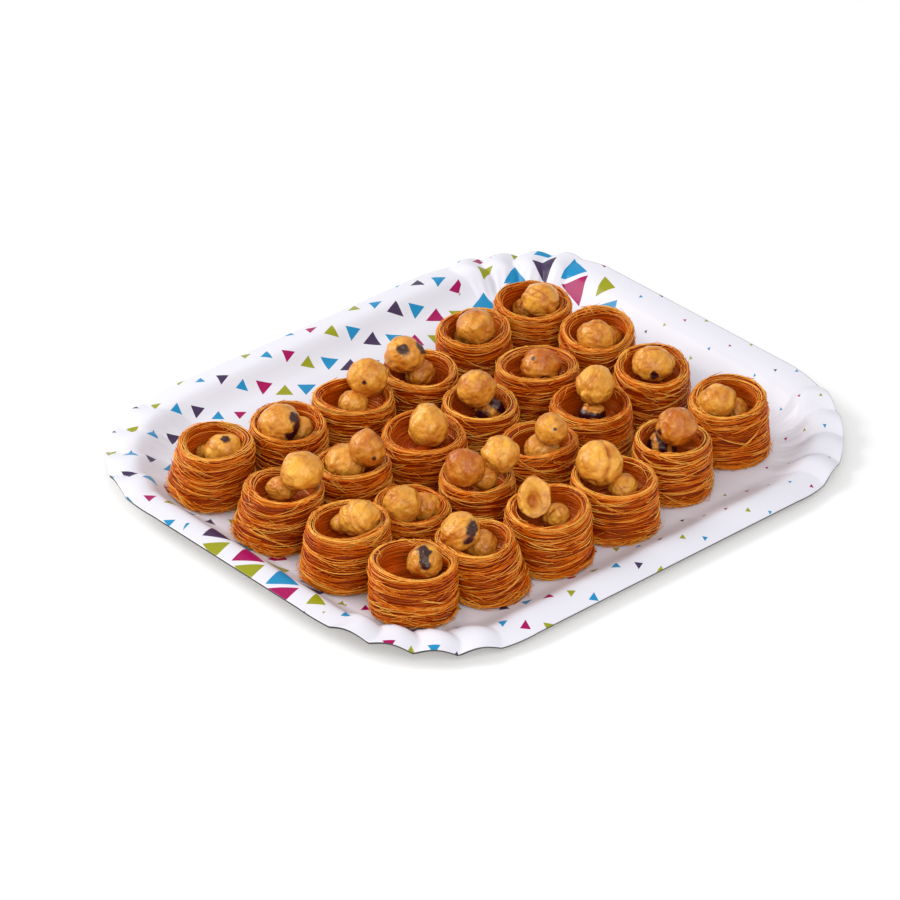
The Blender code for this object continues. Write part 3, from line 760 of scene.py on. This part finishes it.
def tray_surface():
    """Rings of the rim profile carried round the crease; the sheet's own coordinates follow the board."""
    points, normals, corner_angles = crease_line()
    count = len(points)
    along, out, up = smooth_rim()
    turn = SHORT_SIDE_TURN * normals[:, 0] ** 2
    swing = FLUTE_SWING * np.sin(out / RIM_OUT[-1] * TAU)
    angle = np.where(corner_angles[None] > 0, corner_angles[None] + swing[:, None], 0)
    lift = fluting(out[:, None], hump(angle), normals[None])
    fine = np.sin(corner_angles / FLUTE_ANGLE * FINE_PER_FLUTE * TAU + 0.6)
    in_corner = (hump(corner_angles) > 0) * np.sin(2 * corner_angles) ** 2
    rising = np.sin(np.clip(out / FINE_REACH, 0, 1) * math.pi)[:, None]
    lift = lift + FINE_HEIGHT * rising * (fine * in_corner)[None]
    turned_out = out[:, None] * np.cos(turn) - up[:, None] * np.sin(turn)
    height = out[:, None] * np.sin(turn) + up[:, None] * np.cos(turn) + lift + BOARD
    flat = points[None] + normals[None] * turned_out[..., None]
    rim = np.concatenate([flat, height[..., None]], axis=-1).reshape(-1, 3)
    sheet = (points[None] + normals[None] * along[:, None, None]).reshape(-1, 2)
    quads = band(len(out), count)[:, ::-1]
    return (np.vstack([rim, [[0, 0, BOARD]]]), quads, fan(np.arange(count), len(rim)),
            np.vstack([sheet, [[0, 0]]]))


class NestForm:
    """One nest's surface: points at an angle round it and a distance along its profile, foot to hollow."""

    def __init__(self, key):
        """Works out the profile of the nest in that column and row."""
        self.key = key
        height, radius, floor = (value * MM for value in NESTS[key][2:5])
        wider = SHAPES.get(key, UPRIGHT)[2] * MM
        foot = radius + FOOT_SPREAD + wider
        corners = np.array([
            (foot - 2.2 * MM, GAP),                                 # under the foot
            (foot, GAP + FOOT_ROUND),                               # the foot's edge
            (radius + 0.6 * MM + 0.4 * wider, 0.45 * height),       # half way up the wall
            (radius, height - 2 * MM),                              # outside of the lip
            (radius - LIP_ROUND, height + 0.3 * MM),                # top of the lip
            (radius - LIP_WALL, height - 1.3 * MM),                 # inside of the lip
            (radius - LIP_WALL - 0.4 * MM, height - HOLLOW_DEPTH),  # wall of the hollow
            (radius - 5 * MM, floor + 1.2 * MM),                    # edge of its floor
            (0.5 * MM, floor),                                      # middle of its floor
        ])
        self.height, self.radius, self.side = height, radius, corners[[1, 2, 3]]
        self.corners, self.along = rounded(corners)
        slope = unit(np.gradient(self.corners, self.along, axis=0))
        self.normals = np.column_stack([slope[:, 1], -slope[:, 0]])
        self.lip = self.along[np.argmax(self.corners[:, 1])]
        self.length = self.along[-1]
        self.phase = 2.4 * key[0] + 1.7 * key[1]    # of the oval and the waves, unlike from nest to nest

    def axis(self, key, height_above):
        """A nest's axis at given heights: under its rim's centre, and leaning towards its foot."""
        x, y, height = np.array(NESTS[key][:3]) * MM
        lean = np.array(SHAPES.get(key, UPRIGHT)[:2]) * MM
        low = 1 - np.clip(height_above / height, 0, 1)
        return np.array([x, y]) + low[..., None] * lean

    def rope(self, angle, along):
        """How far the strands are heaped on the inner side of the lip, unevenly round it."""
        inside = along - self.lip
        ending = np.clip((ROPE_ENDS - inside) / (ROPE_ENDS - ROPE_STARTS), 0, 1)
        grown = np.clip(inside / ROPE_STARTS, 0, 1) * ending
        uneven = 1 + 0.30 * np.sin(angle + 2.1 * self.phase) + 0.18 * np.sin(2 * angle + 0.7 * self.phase)
        return ROPE * uneven * grown ** 2 * (3 - 2 * grown)

    def at(self, angle, along, lift):
        """Points that far above the surface, and the way out of it there.

        The turned form is made a little oval and three-sided, its lip is waved, and it leans. Where a
        neighbour is too near, both are pressed flat against the plane between them. What stands on the
        tray's rim is raised as the rim is, from the full amount at the foot to nothing at the lip.
        """
        lift = lift + self.rope(angle, along)
        r = np.interp(along, self.along, self.corners[:, 0])
        z = np.interp(along, self.along, self.corners[:, 1])
        n_r = np.interp(along, self.along, self.normals[:, 0])
        n_z = np.interp(along, self.along, self.normals[:, 1])
        r, z = r + n_r * lift, np.maximum(z + n_z * lift, GAP)
        depth = np.maximum(np.interp(z, self.side[:, 1], self.side[:, 0]) - r, 0)
        phase = self.phase
        swell = 1 + OVAL * np.sin(2 * angle + phase) + THREE_SIDED * np.sin(3 * angle + 2.3 * phase)
        flat = np.stack([r * swell * np.cos(angle), r * swell * np.sin(angle)], axis=-1)
        near_lip = np.clip(z / self.height, 0, 1) ** 2 * np.clip(r / (self.radius - 4 * MM), 0, 1)
        waves = LIP_WAVE * np.sin(angle + 1.9 * phase) + LIP_RIPPLE * np.sin(2 * angle + 2.9 * phase)
        waves = waves + SHAPES.get(self.key, UPRIGHT)[3] * MM * np.cos(angle - FAR_CORNER)
        own_axis = self.axis(self.key, z)
        for other, row in NESTS.items():
            apart = self.axis(other, z) - own_axis
            distance = np.hypot(apart[..., 0], apart[..., 1])
            if other == self.key or distance.min() > NEIGHBOUR_REACH:
                continue
            towards = apart / distance[..., None]
            share = distance * self.radius / (self.radius + row[3] * MM) - GAP / 2
            over = (flat * towards).sum(axis=-1) - (share - depth)
            over = np.where(depth < WALL_REACH, np.maximum(over, 0), 0)
            flat = flat - towards * over[..., None]
        flat = flat + own_axis
        height = z + near_lip * waves + BOARD
        height = height + rim_rise(flat[..., 0], flat[..., 1]) * (1 - np.clip(z / self.height, 0, 1))
        normal = np.stack([n_r * np.cos(angle), n_r * np.sin(angle), n_z + 0 * angle], axis=-1)
        return np.concatenate([flat, height[..., None]], axis=-1), normal


def tubes(points, across, radius):
    """Closed tubes along rows of points: rings round the path, in the plane of `across` and its side way."""
    rows, length = points.shape[:2]
    ahead = unit(np.gradient(points, axis=1))
    side = unit(np.cross(ahead, across))
    up = np.cross(side, ahead)
    turn = np.arange(STRAND_SIDES) * TAU / STRAND_SIDES
    spread = np.cos(turn)[:, None] * up[:, :, None] + np.sin(turn)[:, None] * side[:, :, None]
    rings = points[:, :, None] + radius[..., None, None] * spread
    strip = band(length, STRAND_SIDES)
    offsets = np.arange(rows) * length * STRAND_SIDES
    quads = (strip[None] + offsets[:, None, None]).reshape(-1, 4)
    first = np.arange(STRAND_SIDES)
    starts = offsets[:, None] + first[::-1][None]
    ends = offsets[:, None] + (length - 1) * STRAND_SIDES + first[None]
    return rings.reshape(-1, 3), quads, np.vstack([starts, ends])


def nest_core(form):
    """The nest's own body under its strands, closed under the foot and at the middle of the hollow."""
    along = np.concatenate([np.linspace(0, form.lip - 3 * MM, 18),
                            np.linspace(form.lip - 2 * MM, form.lip + 3 * MM, 10),
                            np.linspace(form.lip + 4 * MM, form.length, 16)])
    angle = np.linspace(0, TAU, CORE_COLUMNS, endpoint=False)
    angle, along = np.meshgrid(angle, along)
    points, _ = form.at(angle, along, np.full(angle.shape, -CORE_BELOW))
    rows = len(points)
    flat = points.reshape(-1, 3)
    foot, middle = flat[:CORE_COLUMNS].mean(axis=0), flat[-CORE_COLUMNS:].mean(axis=0)
    first = np.arange(CORE_COLUMNS)
    last = (rows - 1) * CORE_COLUMNS + first
    triangles = np.vstack([fan(first, len(flat), flip=True), fan(last, len(flat) + 1)])
    along = np.concatenate([along.ravel(), [0, form.length]])
    # The core shows only in the gaps between strands, so its dark tone is painted shade.
    tone = np.full(len(along), CORE_SHADE_TONE)
    return np.vstack([flat, foot, middle]), band(rows, CORE_COLUMNS), triangles, tone, along


def waves(angle, rng, rows, sizes, member=None):
    """A sum of waves round the nest for each row, of (order, size), or for each group of rows."""
    total = 0
    for order, size in sizes:
        count = rows if member is None else member[-1] + 1
        amount, start = size * MM * rng.normal(0, 1, count), rng.uniform(0, TAU, count)
        if member is not None:
            amount, start = amount[member], start[member]
        total = total + amount[:, None] * np.sin(order * angle + start[:, None])
    return total


def tone_of(lift, rng, spread):
    """Painted light on strands that stand out and painted shade on those that lie deep, each with its own
    share.
    """
    own = spread * rng.normal(0, 1, (len(lift), 1))
    return USUAL_TONE + PAINTED_LIGHT_PER_MM * (lift + USUAL_LIFT) / MM + own


def wound_strands(form, rng, look):
    """Turns of strand from the foot over the lip into the hollow, in bundles that dip, drift and cross.

    Each strand starts at its own place on the profile and goes once round. It drifts up and down by waves
    of its bundle and of its own, most of all on the outer wall, and lies higher or lower by others, which
    are calmer on the lip.
    """
    start, end = 0.5 * MM, form.length - 3 * MM
    count = int((end - start) / look.strand_spacing)
    base = start + (end - start) * (np.arange(count) + rng.uniform(0, 1, count)) / count
    bundle = np.cumsum(rng.uniform(0, 1, count) < NEW_BUNDLE)
    outer = np.clip((form.lip - 1.0 * MM - base) / (5 * MM), 0, 1) * np.clip(base / (5 * MM) + 0.2, 0, 1)
    ease = (0.72 * outer + 0.28)[:, None]
    angle = rng.uniform(0, TAU, (count, 1)) + np.linspace(0, WOUND_TURNS * TAU, WOUND_STEPS)[None]
    drift = rng.uniform(0.3, 1.8) * MM * np.sin(angle + rng.uniform(0, TAU))
    drift = drift + waves(angle, rng, count, BUNDLE_DRIFT, bundle)
    drift = drift + waves(angle, rng, count, STRAND_DRIFT)
    along = np.clip(base[:, None] + ease * drift, 0.3 * MM, end)
    on_lip = np.exp(-((base - form.lip) / LIP_REACH) ** 2)[:, None]
    lift = waves(angle, rng, count, BUNDLE_LIFT, bundle)
    lift = lift + waves(angle, rng, count, STRAND_LIFT)
    lift = np.clip(-USUAL_LIFT + (1 - LIP_CALMER * on_lip) * lift, -CORE_BELOW, 0.12 * MM)
    points, across = form.at(angle, along, lift)
    # Tone by depth through tone_of, plus painted light on the lip's top.
    tone = tone_of(lift, rng, spread=0.10) + LIP_PAINTED_LIGHT * on_lip
    thickness = look.strand_radius * rng.uniform(0.75, 1.2, (count, 1)) * np.ones((1, WOUND_STEPS))
    return points, across, thickness, tone, along


def crossing_strands(form, rng, look):
    """Slanting hanks over the outer wall and lip, sunk into it at both ends.

    Each hank has its own height, place round the nest, reach in radians and slope. Its strands lie in
    lanes beside each other and differ a little from it in reach and slope.
    """
    count = HANKS * IN_HANK
    hank = np.repeat(np.arange(HANKS), IN_HANK)
    lane = np.tile(np.arange(IN_HANK) - (IN_HANK - 1) / 2, HANKS)
    middle = (rng.uniform(0.06, 1.05, HANKS) * form.lip)[hank]
    way = rng.uniform(0, TAU, HANKS)[hank]
    reach = rng.uniform(0.6, 1.9, HANKS)[hank] * rng.uniform(0.75, 1.15, count)
    slope = (rng.normal(0, 5.0, HANKS) * MM)[hank] + rng.normal(0, 1.2, count) * MM
    across_way = np.linspace(-0.5, 0.5, CROSSING_STEPS)[None]
    angle = way[:, None] + reach[:, None] * across_way
    spread = (1.2 + 0.7 * np.sin(3 * angle + way[:, None])) * look.strand_spacing
    along = middle[:, None] + slope[:, None] * across_way + lane[:, None] * spread
    along += waves(angle, rng, count, CROSSING_DRIFT)
    along = np.clip(along, 0.6 * MM, form.lip + 3.5 * MM)
    rise = np.clip(1 - (2 * np.abs(across_way)) ** 4, 0, 1)
    lift = -CROSSING_SUNK + rise * (CROSSING_RISE + 0.16 * rng.normal(0, 1, (count, 1))) * MM
    lift = np.minimum(lift, 0.2 * MM)
    points, across = form.at(angle, along, lift)
    thickness = look.strand_radius * rng.uniform(0.7, 1.0, (count, 1)) * np.ones((1, CROSSING_STEPS))
    # The hanks' raised middles get painted light and their sunk ends painted shade, through tone_of.
    return points, across, thickness, tone_of(lift, rng, spread=0.12), along


def loose_strands(form, rng, look):
    """Short ends that leave the wall, the lip and the foot, and stand a little off them.

    Each is 4 to 13 mm long and runs nearly level from a sunken root. Its free end stands furthest off
    at the foot, and it gets thinner towards that end.
    """
    count = look.loose_ends
    place = rng.uniform(0, 1, count)
    base = np.where(place < FROM_FOOT, rng.uniform(0.6, 4.5, count) * MM,
                    np.where(place < FROM_WALL, rng.uniform(0.1, 0.95, count) * form.lip,
                             form.lip + rng.uniform(-1.8, 3.5, count) * MM))
    length = rng.uniform(4.0, 13.0, count) * MM
    slant = rng.normal(0, 0.27, count)
    forward = rng.choice([-1, 1], count)
    share = np.linspace(0, 1, LOOSE_STEPS)[None]
    turned = (forward * np.cos(slant) * length / form.radius)[:, None] * share
    angle = rng.uniform(0, TAU, (count, 1)) + turned
    along = base[:, None] + (np.sin(slant) * length)[:, None] * share
    along = along + rng.normal(0, 0.8, (count, 1)) * MM * share ** 2
    along = np.clip(along, 0.4 * MM, form.lip + 5 * MM)
    most = np.where(place < FROM_WALL, 1.1, 0.7)
    stand = np.where(place < FROM_FOOT, rng.uniform(0.5, 2.3, count), rng.uniform(0.1, most, count)) * MM
    lift = -LOOSE_SUNK + (stand + LOOSE_SUNK)[:, None] * share ** 1.3
    points, across = form.at(angle, along, lift)
    tone = LOOSE_TONE + 0.14 * rng.normal(0, 1, count)
    thickness = look.strand_radius * 0.85 * (1 - 0.35 * share) * np.ones((count, 1))
    return points, across, thickness, tone[:, None] * np.ones((1, LOOSE_STEPS)), along


def joined(parts):
    """Parts of points, quads, triangles and two rows of point values, as one of each."""
    first = np.cumsum([0] + [len(part[0]) for part in parts])
    points = np.vstack([part[0] for part in parts])
    quads = np.vstack([part[1] + start for part, start in zip(parts, first)])
    triangles = np.vstack([part[2] + start for part, start in zip(parts, first)])
    return points, quads, triangles, *(np.concatenate([part[row] for part in parts]) for row in (3, 4))


def nest_surface(key, look):
    """One nest's core and all its strands as joined arrays, with each point's tone and place."""
    form = NestForm(key)
    rng = np.random.default_rng(10 * key[0] + key[1])
    parts = [nest_core(form)]
    for make in (wound_strands, crossing_strands, loose_strands):
        path, across, thickness, tone, along = make(form, rng, look)
        parts.append((*tubes(path, across, thickness), np.repeat(tone.ravel(), STRAND_SIDES),
                      np.repeat(along.ravel(), STRAND_SIDES)))
    points, quads, triangles, tone, place = joined(parts)
    near_foot = np.clip(1 - (points[:, 2] - BOARD) / SOAKED_HEIGHT, 0, 1) ** 1.5
    soaked = near_foot * SOAKED_SHARE * (place < form.lip)
    inside = INSIDE_SHARE * np.clip((place - form.lip - INSIDE_STARTS) / INSIDE_GROWS, 0, 1)
    return points, quads, triangles, {"tone": tone, "soaked": soaked, "inside": inside}


def settle(x, y, radius, nest, placed):
    """Lowers a nut until it meets the nest, or sinks a little way into a nut already there."""
    centre = Vector((x, y, DROP_FROM))
    while centre.z > radius:
        lower = centre - Vector((0, 0, DROP_STEP))
        if nest.find_nearest(lower)[3] < radius + GAP:
            break
        if any((lower - other).length < (radius + size) * FUSED for other, size in placed):
            break
        centre = lower
    return centre


def slide_together(centre, radius, nest, placed):
    """Moves a nut that stands apart sideways, until it meets the nearest of those already there."""
    for _ in range(SLIDES):
        other, size = min(placed, key=lambda nut: (centre - nut[0]).length - nut[1] * FUSED)
        if (centre - other).length <= (radius + size) * FUSED + SLIDE_STEP:
            break
        way = (other - centre).xy.normalized() * SLIDE_STEP
        centre = settle(centre.x + way.x, centre.y + way.y, radius, nest, placed)
    return centre


def settled_nuts(key):
    """Centres and radii of one nest's nuts, lying in its hollow."""
    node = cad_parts["nest_%d%d" % key]
    points = [node.matrix_world @ vertex.co for vertex in node.data.vertices]
    nest = BVHTree.FromPolygons(points, [face.vertices for face in node.data.polygons])
    centre_x, centre_y = NESTS[key][:2]
    placed = []
    for x, y, radius in NESTS[key][5]:
        radius *= MM
        centre = settle((centre_x + x) * MM, (centre_y + y) * MM, radius, nest, placed)
        if placed:
            centre = slide_together(centre, radius, nest, placed)
        placed.append((centre, radius))
    return placed


def ball(tip):
    """Ways out of a ball's middle, ring by ring round its tip and then at both poles.

    With them comes how far each is towards the tip, from -1 to 1, and its angle round the tip.
    """
    side = unit(np.cross(tip, [0.31, 0.52, 0.79]))
    other = np.cross(tip, side)
    polar = np.linspace(0, math.pi, NUT_ROWS + 2)[1:-1, None]
    turn = np.linspace(0, TAU, NUT_COLUMNS, endpoint=False)[None]
    ways = np.cos(polar)[..., None] * tip + (np.sin(polar) * np.cos(turn))[..., None] * side
    ways = ways + (np.sin(polar) * np.sin(turn))[..., None] * other
    ways = np.vstack([ways.reshape(-1, 3), tip, -tip])
    return ways, ways @ tip, np.arctan2(ways @ other, ways @ side)


def clefts(look, ways, tip, lean, swell):
    """How deep a nut's cleft and folds are at each point; their banks are added to its swellings."""
    crease = 0 * lean
    main = np.array(facing(*look.cleft))
    across = unit(np.cross(tip, main))
    seams = [(across, 0.0, 0.8)]
    if look.form == "folded":
        seams = [(across, 0.0, 0.6), (unit(across + 0.5 * main), 0.28, 0.8),
                 (unit(across - 0.7 * tip), -0.34, 0.7)]
    for groove, aside, depth in seams:
        away = ways @ groove - aside + 0.10 * np.sin(3.0 * (ways @ main) + 2.0 * lean)
        near = np.exp(-(away / 0.08) ** 2) * np.clip(ways @ main + 0.45, 0, 1)
        crease = np.maximum(crease, depth * near)
        swell += 0.04 * depth * np.exp(-((np.abs(away) - 0.22) / 0.14) ** 2)
    return crease


def lobes(ways, lean, rng, swell):
    """How deep the seams between a lumpy nut's lobes are; the lobes are added to its swellings."""
    crease = 0 * lean
    for _ in range(6):
        lobe = unit(rng.normal(0, 1, 3))
        swell += 0.08 * np.exp(-(1 - ways @ lobe) / 0.12)
        seam, aside = unit(rng.normal(0, 1, 3)), rng.uniform(-0.3, 0.3)
        near = np.exp(-((ways @ seam - aside + 0.08 * np.sin(4 * lean)) / 0.08) ** 2)
        crease = np.maximum(crease, 0.5 * near * np.clip(ways @ lobe + 0.3, 0, 1))
    return crease


def halved(points, radius, tone):
    """A nut cut flat on its side towards the camera, with painted shade in the hollow between its halves in
    the middle.
    """
    way = np.array(facing(0.15, -0.05))
    above = points @ way - 0.30 * radius
    tall = 0.62 * (points @ np.array(UP)) + 0.08 * radius
    spread = np.hypot(points @ np.array(RIGHT), tall) / radius
    dimple = 0.36 * radius * np.exp(-(spread / 0.27) ** 2)
    points = points - np.outer(np.where(above > 0, above + dimple, 0), way)
    # Its cut face is a little paler, and the hollow is darkened as painted shade.
    return points, tone + np.where(above > 0, 1.4 * np.exp(-(spread / 0.26) ** 2) - 0.15, 0)


def nut_surface(centre, radius, look, rng):
    """A nut: a ball with waves, a tip, furrows from pole to pole, and clefts, lobes or a flat side.

    The camera sees it widened and made taller as its look says. Painted shade deepens its tone in creases,
    hollows and furrows; on its underside the deeper tone is partly syrup pooled there, partly painted shade.
    Each patch of skin fades out round its middle.
    """
    tip = np.array(facing(*(look.tip or rng.uniform(-0.6, 0.6, 2))).normalized())
    ways, lean, around = ball(tip)
    swell = (0.94 if look.form == "lumpy" else 0.985) + 0 * lean
    for count, bend, size in NUT_WAVES:
        for _ in range(count):
            wave = rng.normal(0, 1, 3) * bend
            swell += size * np.sin(ways @ wave + rng.uniform(0, TAU))
    swell += look.tip_size * np.exp(-(1 - lean) / 0.09)
    swell -= 0.03 * np.clip(-lean - 0.75, 0, 1) / 0.25
    furrows = np.abs(np.sin(around * 4.5 + 1.2 * np.sin(3 * lean + 2) + rng.uniform(0, 3)))
    swell -= 0.012 * np.exp(-furrows / 0.25) * np.sqrt(np.maximum(1 - lean ** 2, 0))
    crease = 0 * lean
    if look.form in ("cleft", "folded"):
        crease = clefts(look, ways, tip, lean, swell)
    if look.form == "lumpy":
        crease = lobes(ways, lean, rng, swell)
    swell = np.minimum(swell, FULLEST) - CREASE_DEPTH * crease
    points = ways * (radius * swell)[:, None]
    for direction, stretch in ((np.array(RIGHT), look.wide), (np.array(UP), look.tall)):
        points = points + np.outer(points @ direction, direction) * (stretch - 1)
    drawn = rng.uniform(0.2, 0.55)
    # Painted shade in creases, hollows and furrows deepens the tone.
    tone = (drawn if look.tone is None else look.tone) + 0.5 * crease
    tone = tone + 1.0 * np.clip(0.97 - swell, 0, 0.2) + 0.08 * np.exp(-furrows / 0.25)
    # Deeper on the underside: partly syrup pooled there, partly painted shade.
    tone = tone + 0.40 * np.clip(-ways[:, 2], 0, 1)
    skin = 0 * lean
    for right, up, size in look.patches:
        offset = np.linalg.norm(ways - np.array(facing(right, up).normalized()), axis=1)
        skin = np.maximum(skin, np.clip(1.15 - 0.62 * offset / size, 0, 1))
    if look.darkest:
        skin = np.clip(0.75 + 0.5 * np.sin(ways @ (rng.normal(0, 1, 3) * 3)), 0, 1)
    if look.form == "half":
        points, tone = halved(points, radius, tone)
    points = points + np.array(centre)
    points[:, 2] = np.minimum(points[:, 2], CAD_BOX[1][2] - TOP_CLEARANCE)
    first = np.arange(NUT_COLUMNS)
    last = (NUT_ROWS - 1) * NUT_COLUMNS + first
    caps = np.vstack([fan(first, len(ways) - 2), fan(last, len(ways) - 1, flip=True)])
    return points, band(NUT_ROWS, NUT_COLUMNS)[:, ::-1], caps, tone, skin


def heap_surface(key):
    """All the nuts of one nest as joined arrays."""
    parts = []
    for order, (centre, radius) in enumerate(settled_nuts(key)):
        rng = np.random.default_rng(1000 + 100 * key[0] + 10 * key[1] + order)
        parts.append(nut_surface(centre, radius, NUT_LOOKS.get((*key, order), Nut()), rng))
    points, quads, triangles, tone, skin = joined(parts)
    return points, quads, triangles, {"tone": tone, "skin": skin}


class KUNAFA_OT_tray(bpy.types.Operator):
    """Makes the printed tray with its rolled, fluted rim"""
    bl_idname = "kunafa.tray"
    bl_label = "Make tray"

    def execute(self, context):
        look = context.scene.kunafa_tray
        points, quads, triangles, sheet = tray_surface()
        materials = [print_material(look), board_material("board_back", look.back, roughness=0.8),
                     board_material("board_edge", look.edge, roughness=0.9)]
        tray = add_piece("printed_tray", points, quads, triangles, materials, "tray",
                         uv=sheet)
        shell = tray.modifiers.new("Board", "SOLIDIFY")
        shell.thickness = BOARD - BACK_CLEARANCE
        shell.offset = -1
        shell.material_offset = 1
        shell.material_offset_rim = 2
        return {"FINISHED"}


class KUNAFA_OT_nests(bpy.types.Operator):
    """Winds the pastry nests"""
    bl_idname = "kunafa.nests"
    bl_label = "Make nests"

    def execute(self, context):
        look = context.scene.kunafa_pastry
        material = pastry_material(look)
        for key in NESTS:
            points, quads, triangles, values = nest_surface(key, look)
            add_piece("wound_nest_%d%d" % key, points, quads, triangles, [material],
                      "nest_%d%d" % key, values)
        return {"FINISHED"}


class KUNAFA_OT_nuts(bpy.types.Operator):
    """Makes the roasted nuts that fill the nests"""
    bl_idname = "kunafa.nuts"
    bl_label = "Make nuts"

    def execute(self, context):
        material = nut_material(context.scene.kunafa_nuts)
        for key in NESTS:
            points, quads, triangles, values = heap_surface(key)
            add_piece("roasted_nuts_%d%d" % key, points, quads, triangles, [material],
                      "nuts_%d%d" % key, values)
        return {"FINISHED"}


class KUNAFA_OT_stage(bpy.types.Operator):
    """Sets the floor, the lights and the camera"""
    bl_idname = "kunafa.stage"
    bl_label = "Set stage"

    def execute(self, context):
        look = context.scene.kunafa_stage
        mesh = bpy.data.meshes.new("floor")
        mesh.from_pydata([(x * FLOOR_HALF, y * FLOOR_HALF, -FLOOR_DEPTH)
                          for x, y in ((-1, -1), (1, -1), (1, 1), (-1, 1))], [], [(0, 1, 2, 3)])
        floor = bpy.data.objects.new("floor", mesh)
        context.scene.collection.objects.link(floor)
        material, _, inputs = new_material("plain_floor", roughness=0.6)
        inputs["Base Color"].default_value = (*look.floor, 1)
        inputs["Emission Color"].default_value = (1, 1, 1, 1)
        inputs["Emission Strength"].default_value = look.glow
        mesh.materials.append(material)
        self.add_light(context, "key_light", look.key, KEY_SIZE, KEY_PLACE)
        self.add_light(context, "fill_light", look.fill, FILL_SIZE, FILL_PLACE)
        world = bpy.data.worlds.new("white_room")
        world.use_nodes = True
        background = world.node_tree.nodes["Background"]
        background.inputs["Color"].default_value = (1, 1, 1, 1)
        background.inputs["Strength"].default_value = look.sky
        context.scene.world = world
        context.scene.view_settings.view_transform = "Standard"
        data = bpy.data.cameras.new("camera")
        data.lens = LENS
        data.sensor_width = SENSOR
        data.clip_end = VIEW_END
        camera = bpy.data.objects.new("camera", data)
        context.scene.collection.objects.link(camera)
        camera.location = BACK * VIEW_DISTANCE + RIGHT * VIEW_ASIDE + UP * VIEW_RAISED + VIEW_CENTRE
        camera.rotation_mode = "QUATERNION"
        camera.rotation_quaternion = (-BACK).to_track_quat("-Z", "Y")
        context.scene.camera = camera
        return {"FINISHED"}

    def add_light(self, context, name, power, size, place):
        """A square soft light at a place, turned to the tray."""
        data = bpy.data.lights.new(name, "AREA")
        data.energy = power
        data.size = size
        light = bpy.data.objects.new(name, data)
        light.location = place
        light.rotation_mode = "QUATERNION"
        light.rotation_quaternion = (-place).to_track_quat("-Z", "Y")
        context.scene.collection.objects.link(light)


class KUNAFA_PT_panel(bpy.types.Panel):
    """The tray's pieces, in the order they are made"""
    bl_label = "Asawer Kunafa"
    bl_space_type = "VIEW_3D"
    bl_region_type = "UI"
    bl_category = "Kunafa"

    def draw(self, context):
        """One button for each piece or group."""
        for operator in OPERATORS:
            self.layout.operator(operator.bl_idname)


OPERATORS = (KUNAFA_OT_tray, KUNAFA_OT_nests, KUNAFA_OT_nuts, KUNAFA_OT_stage)
LOOKS = {"kunafa_pastry": KunafaPastryLook, "kunafa_nuts": KunafaNutLook, "kunafa_tray": KunafaTrayLook,
         "kunafa_stage": KunafaStageLook}


def register():
    """Adds the looks, the operators and the panel."""
    for look in LOOKS.values():
        bpy.utils.register_class(look)
    for name, look in LOOKS.items():
        setattr(bpy.types.Scene, name, PointerProperty(type=look))
    for operator in OPERATORS:
        bpy.utils.register_class(operator)
    bpy.utils.register_class(KUNAFA_PT_panel)


def unregister():
    """Takes them out again."""
    bpy.utils.unregister_class(KUNAFA_PT_panel)
    for operator in reversed(OPERATORS):
        bpy.utils.unregister_class(operator)
    for name, look in LOOKS.items():
        delattr(bpy.types.Scene, name)
        bpy.utils.unregister_class(look)


def main():
    """Registers everything and makes the pieces and the stage in order."""
    register()
    bpy.ops.kunafa.tray()
    bpy.ops.kunafa.nests()
    bpy.ops.kunafa.nuts()
    bpy.ops.kunafa.stage()
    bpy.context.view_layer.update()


if __name__ == "__main__":
    main()
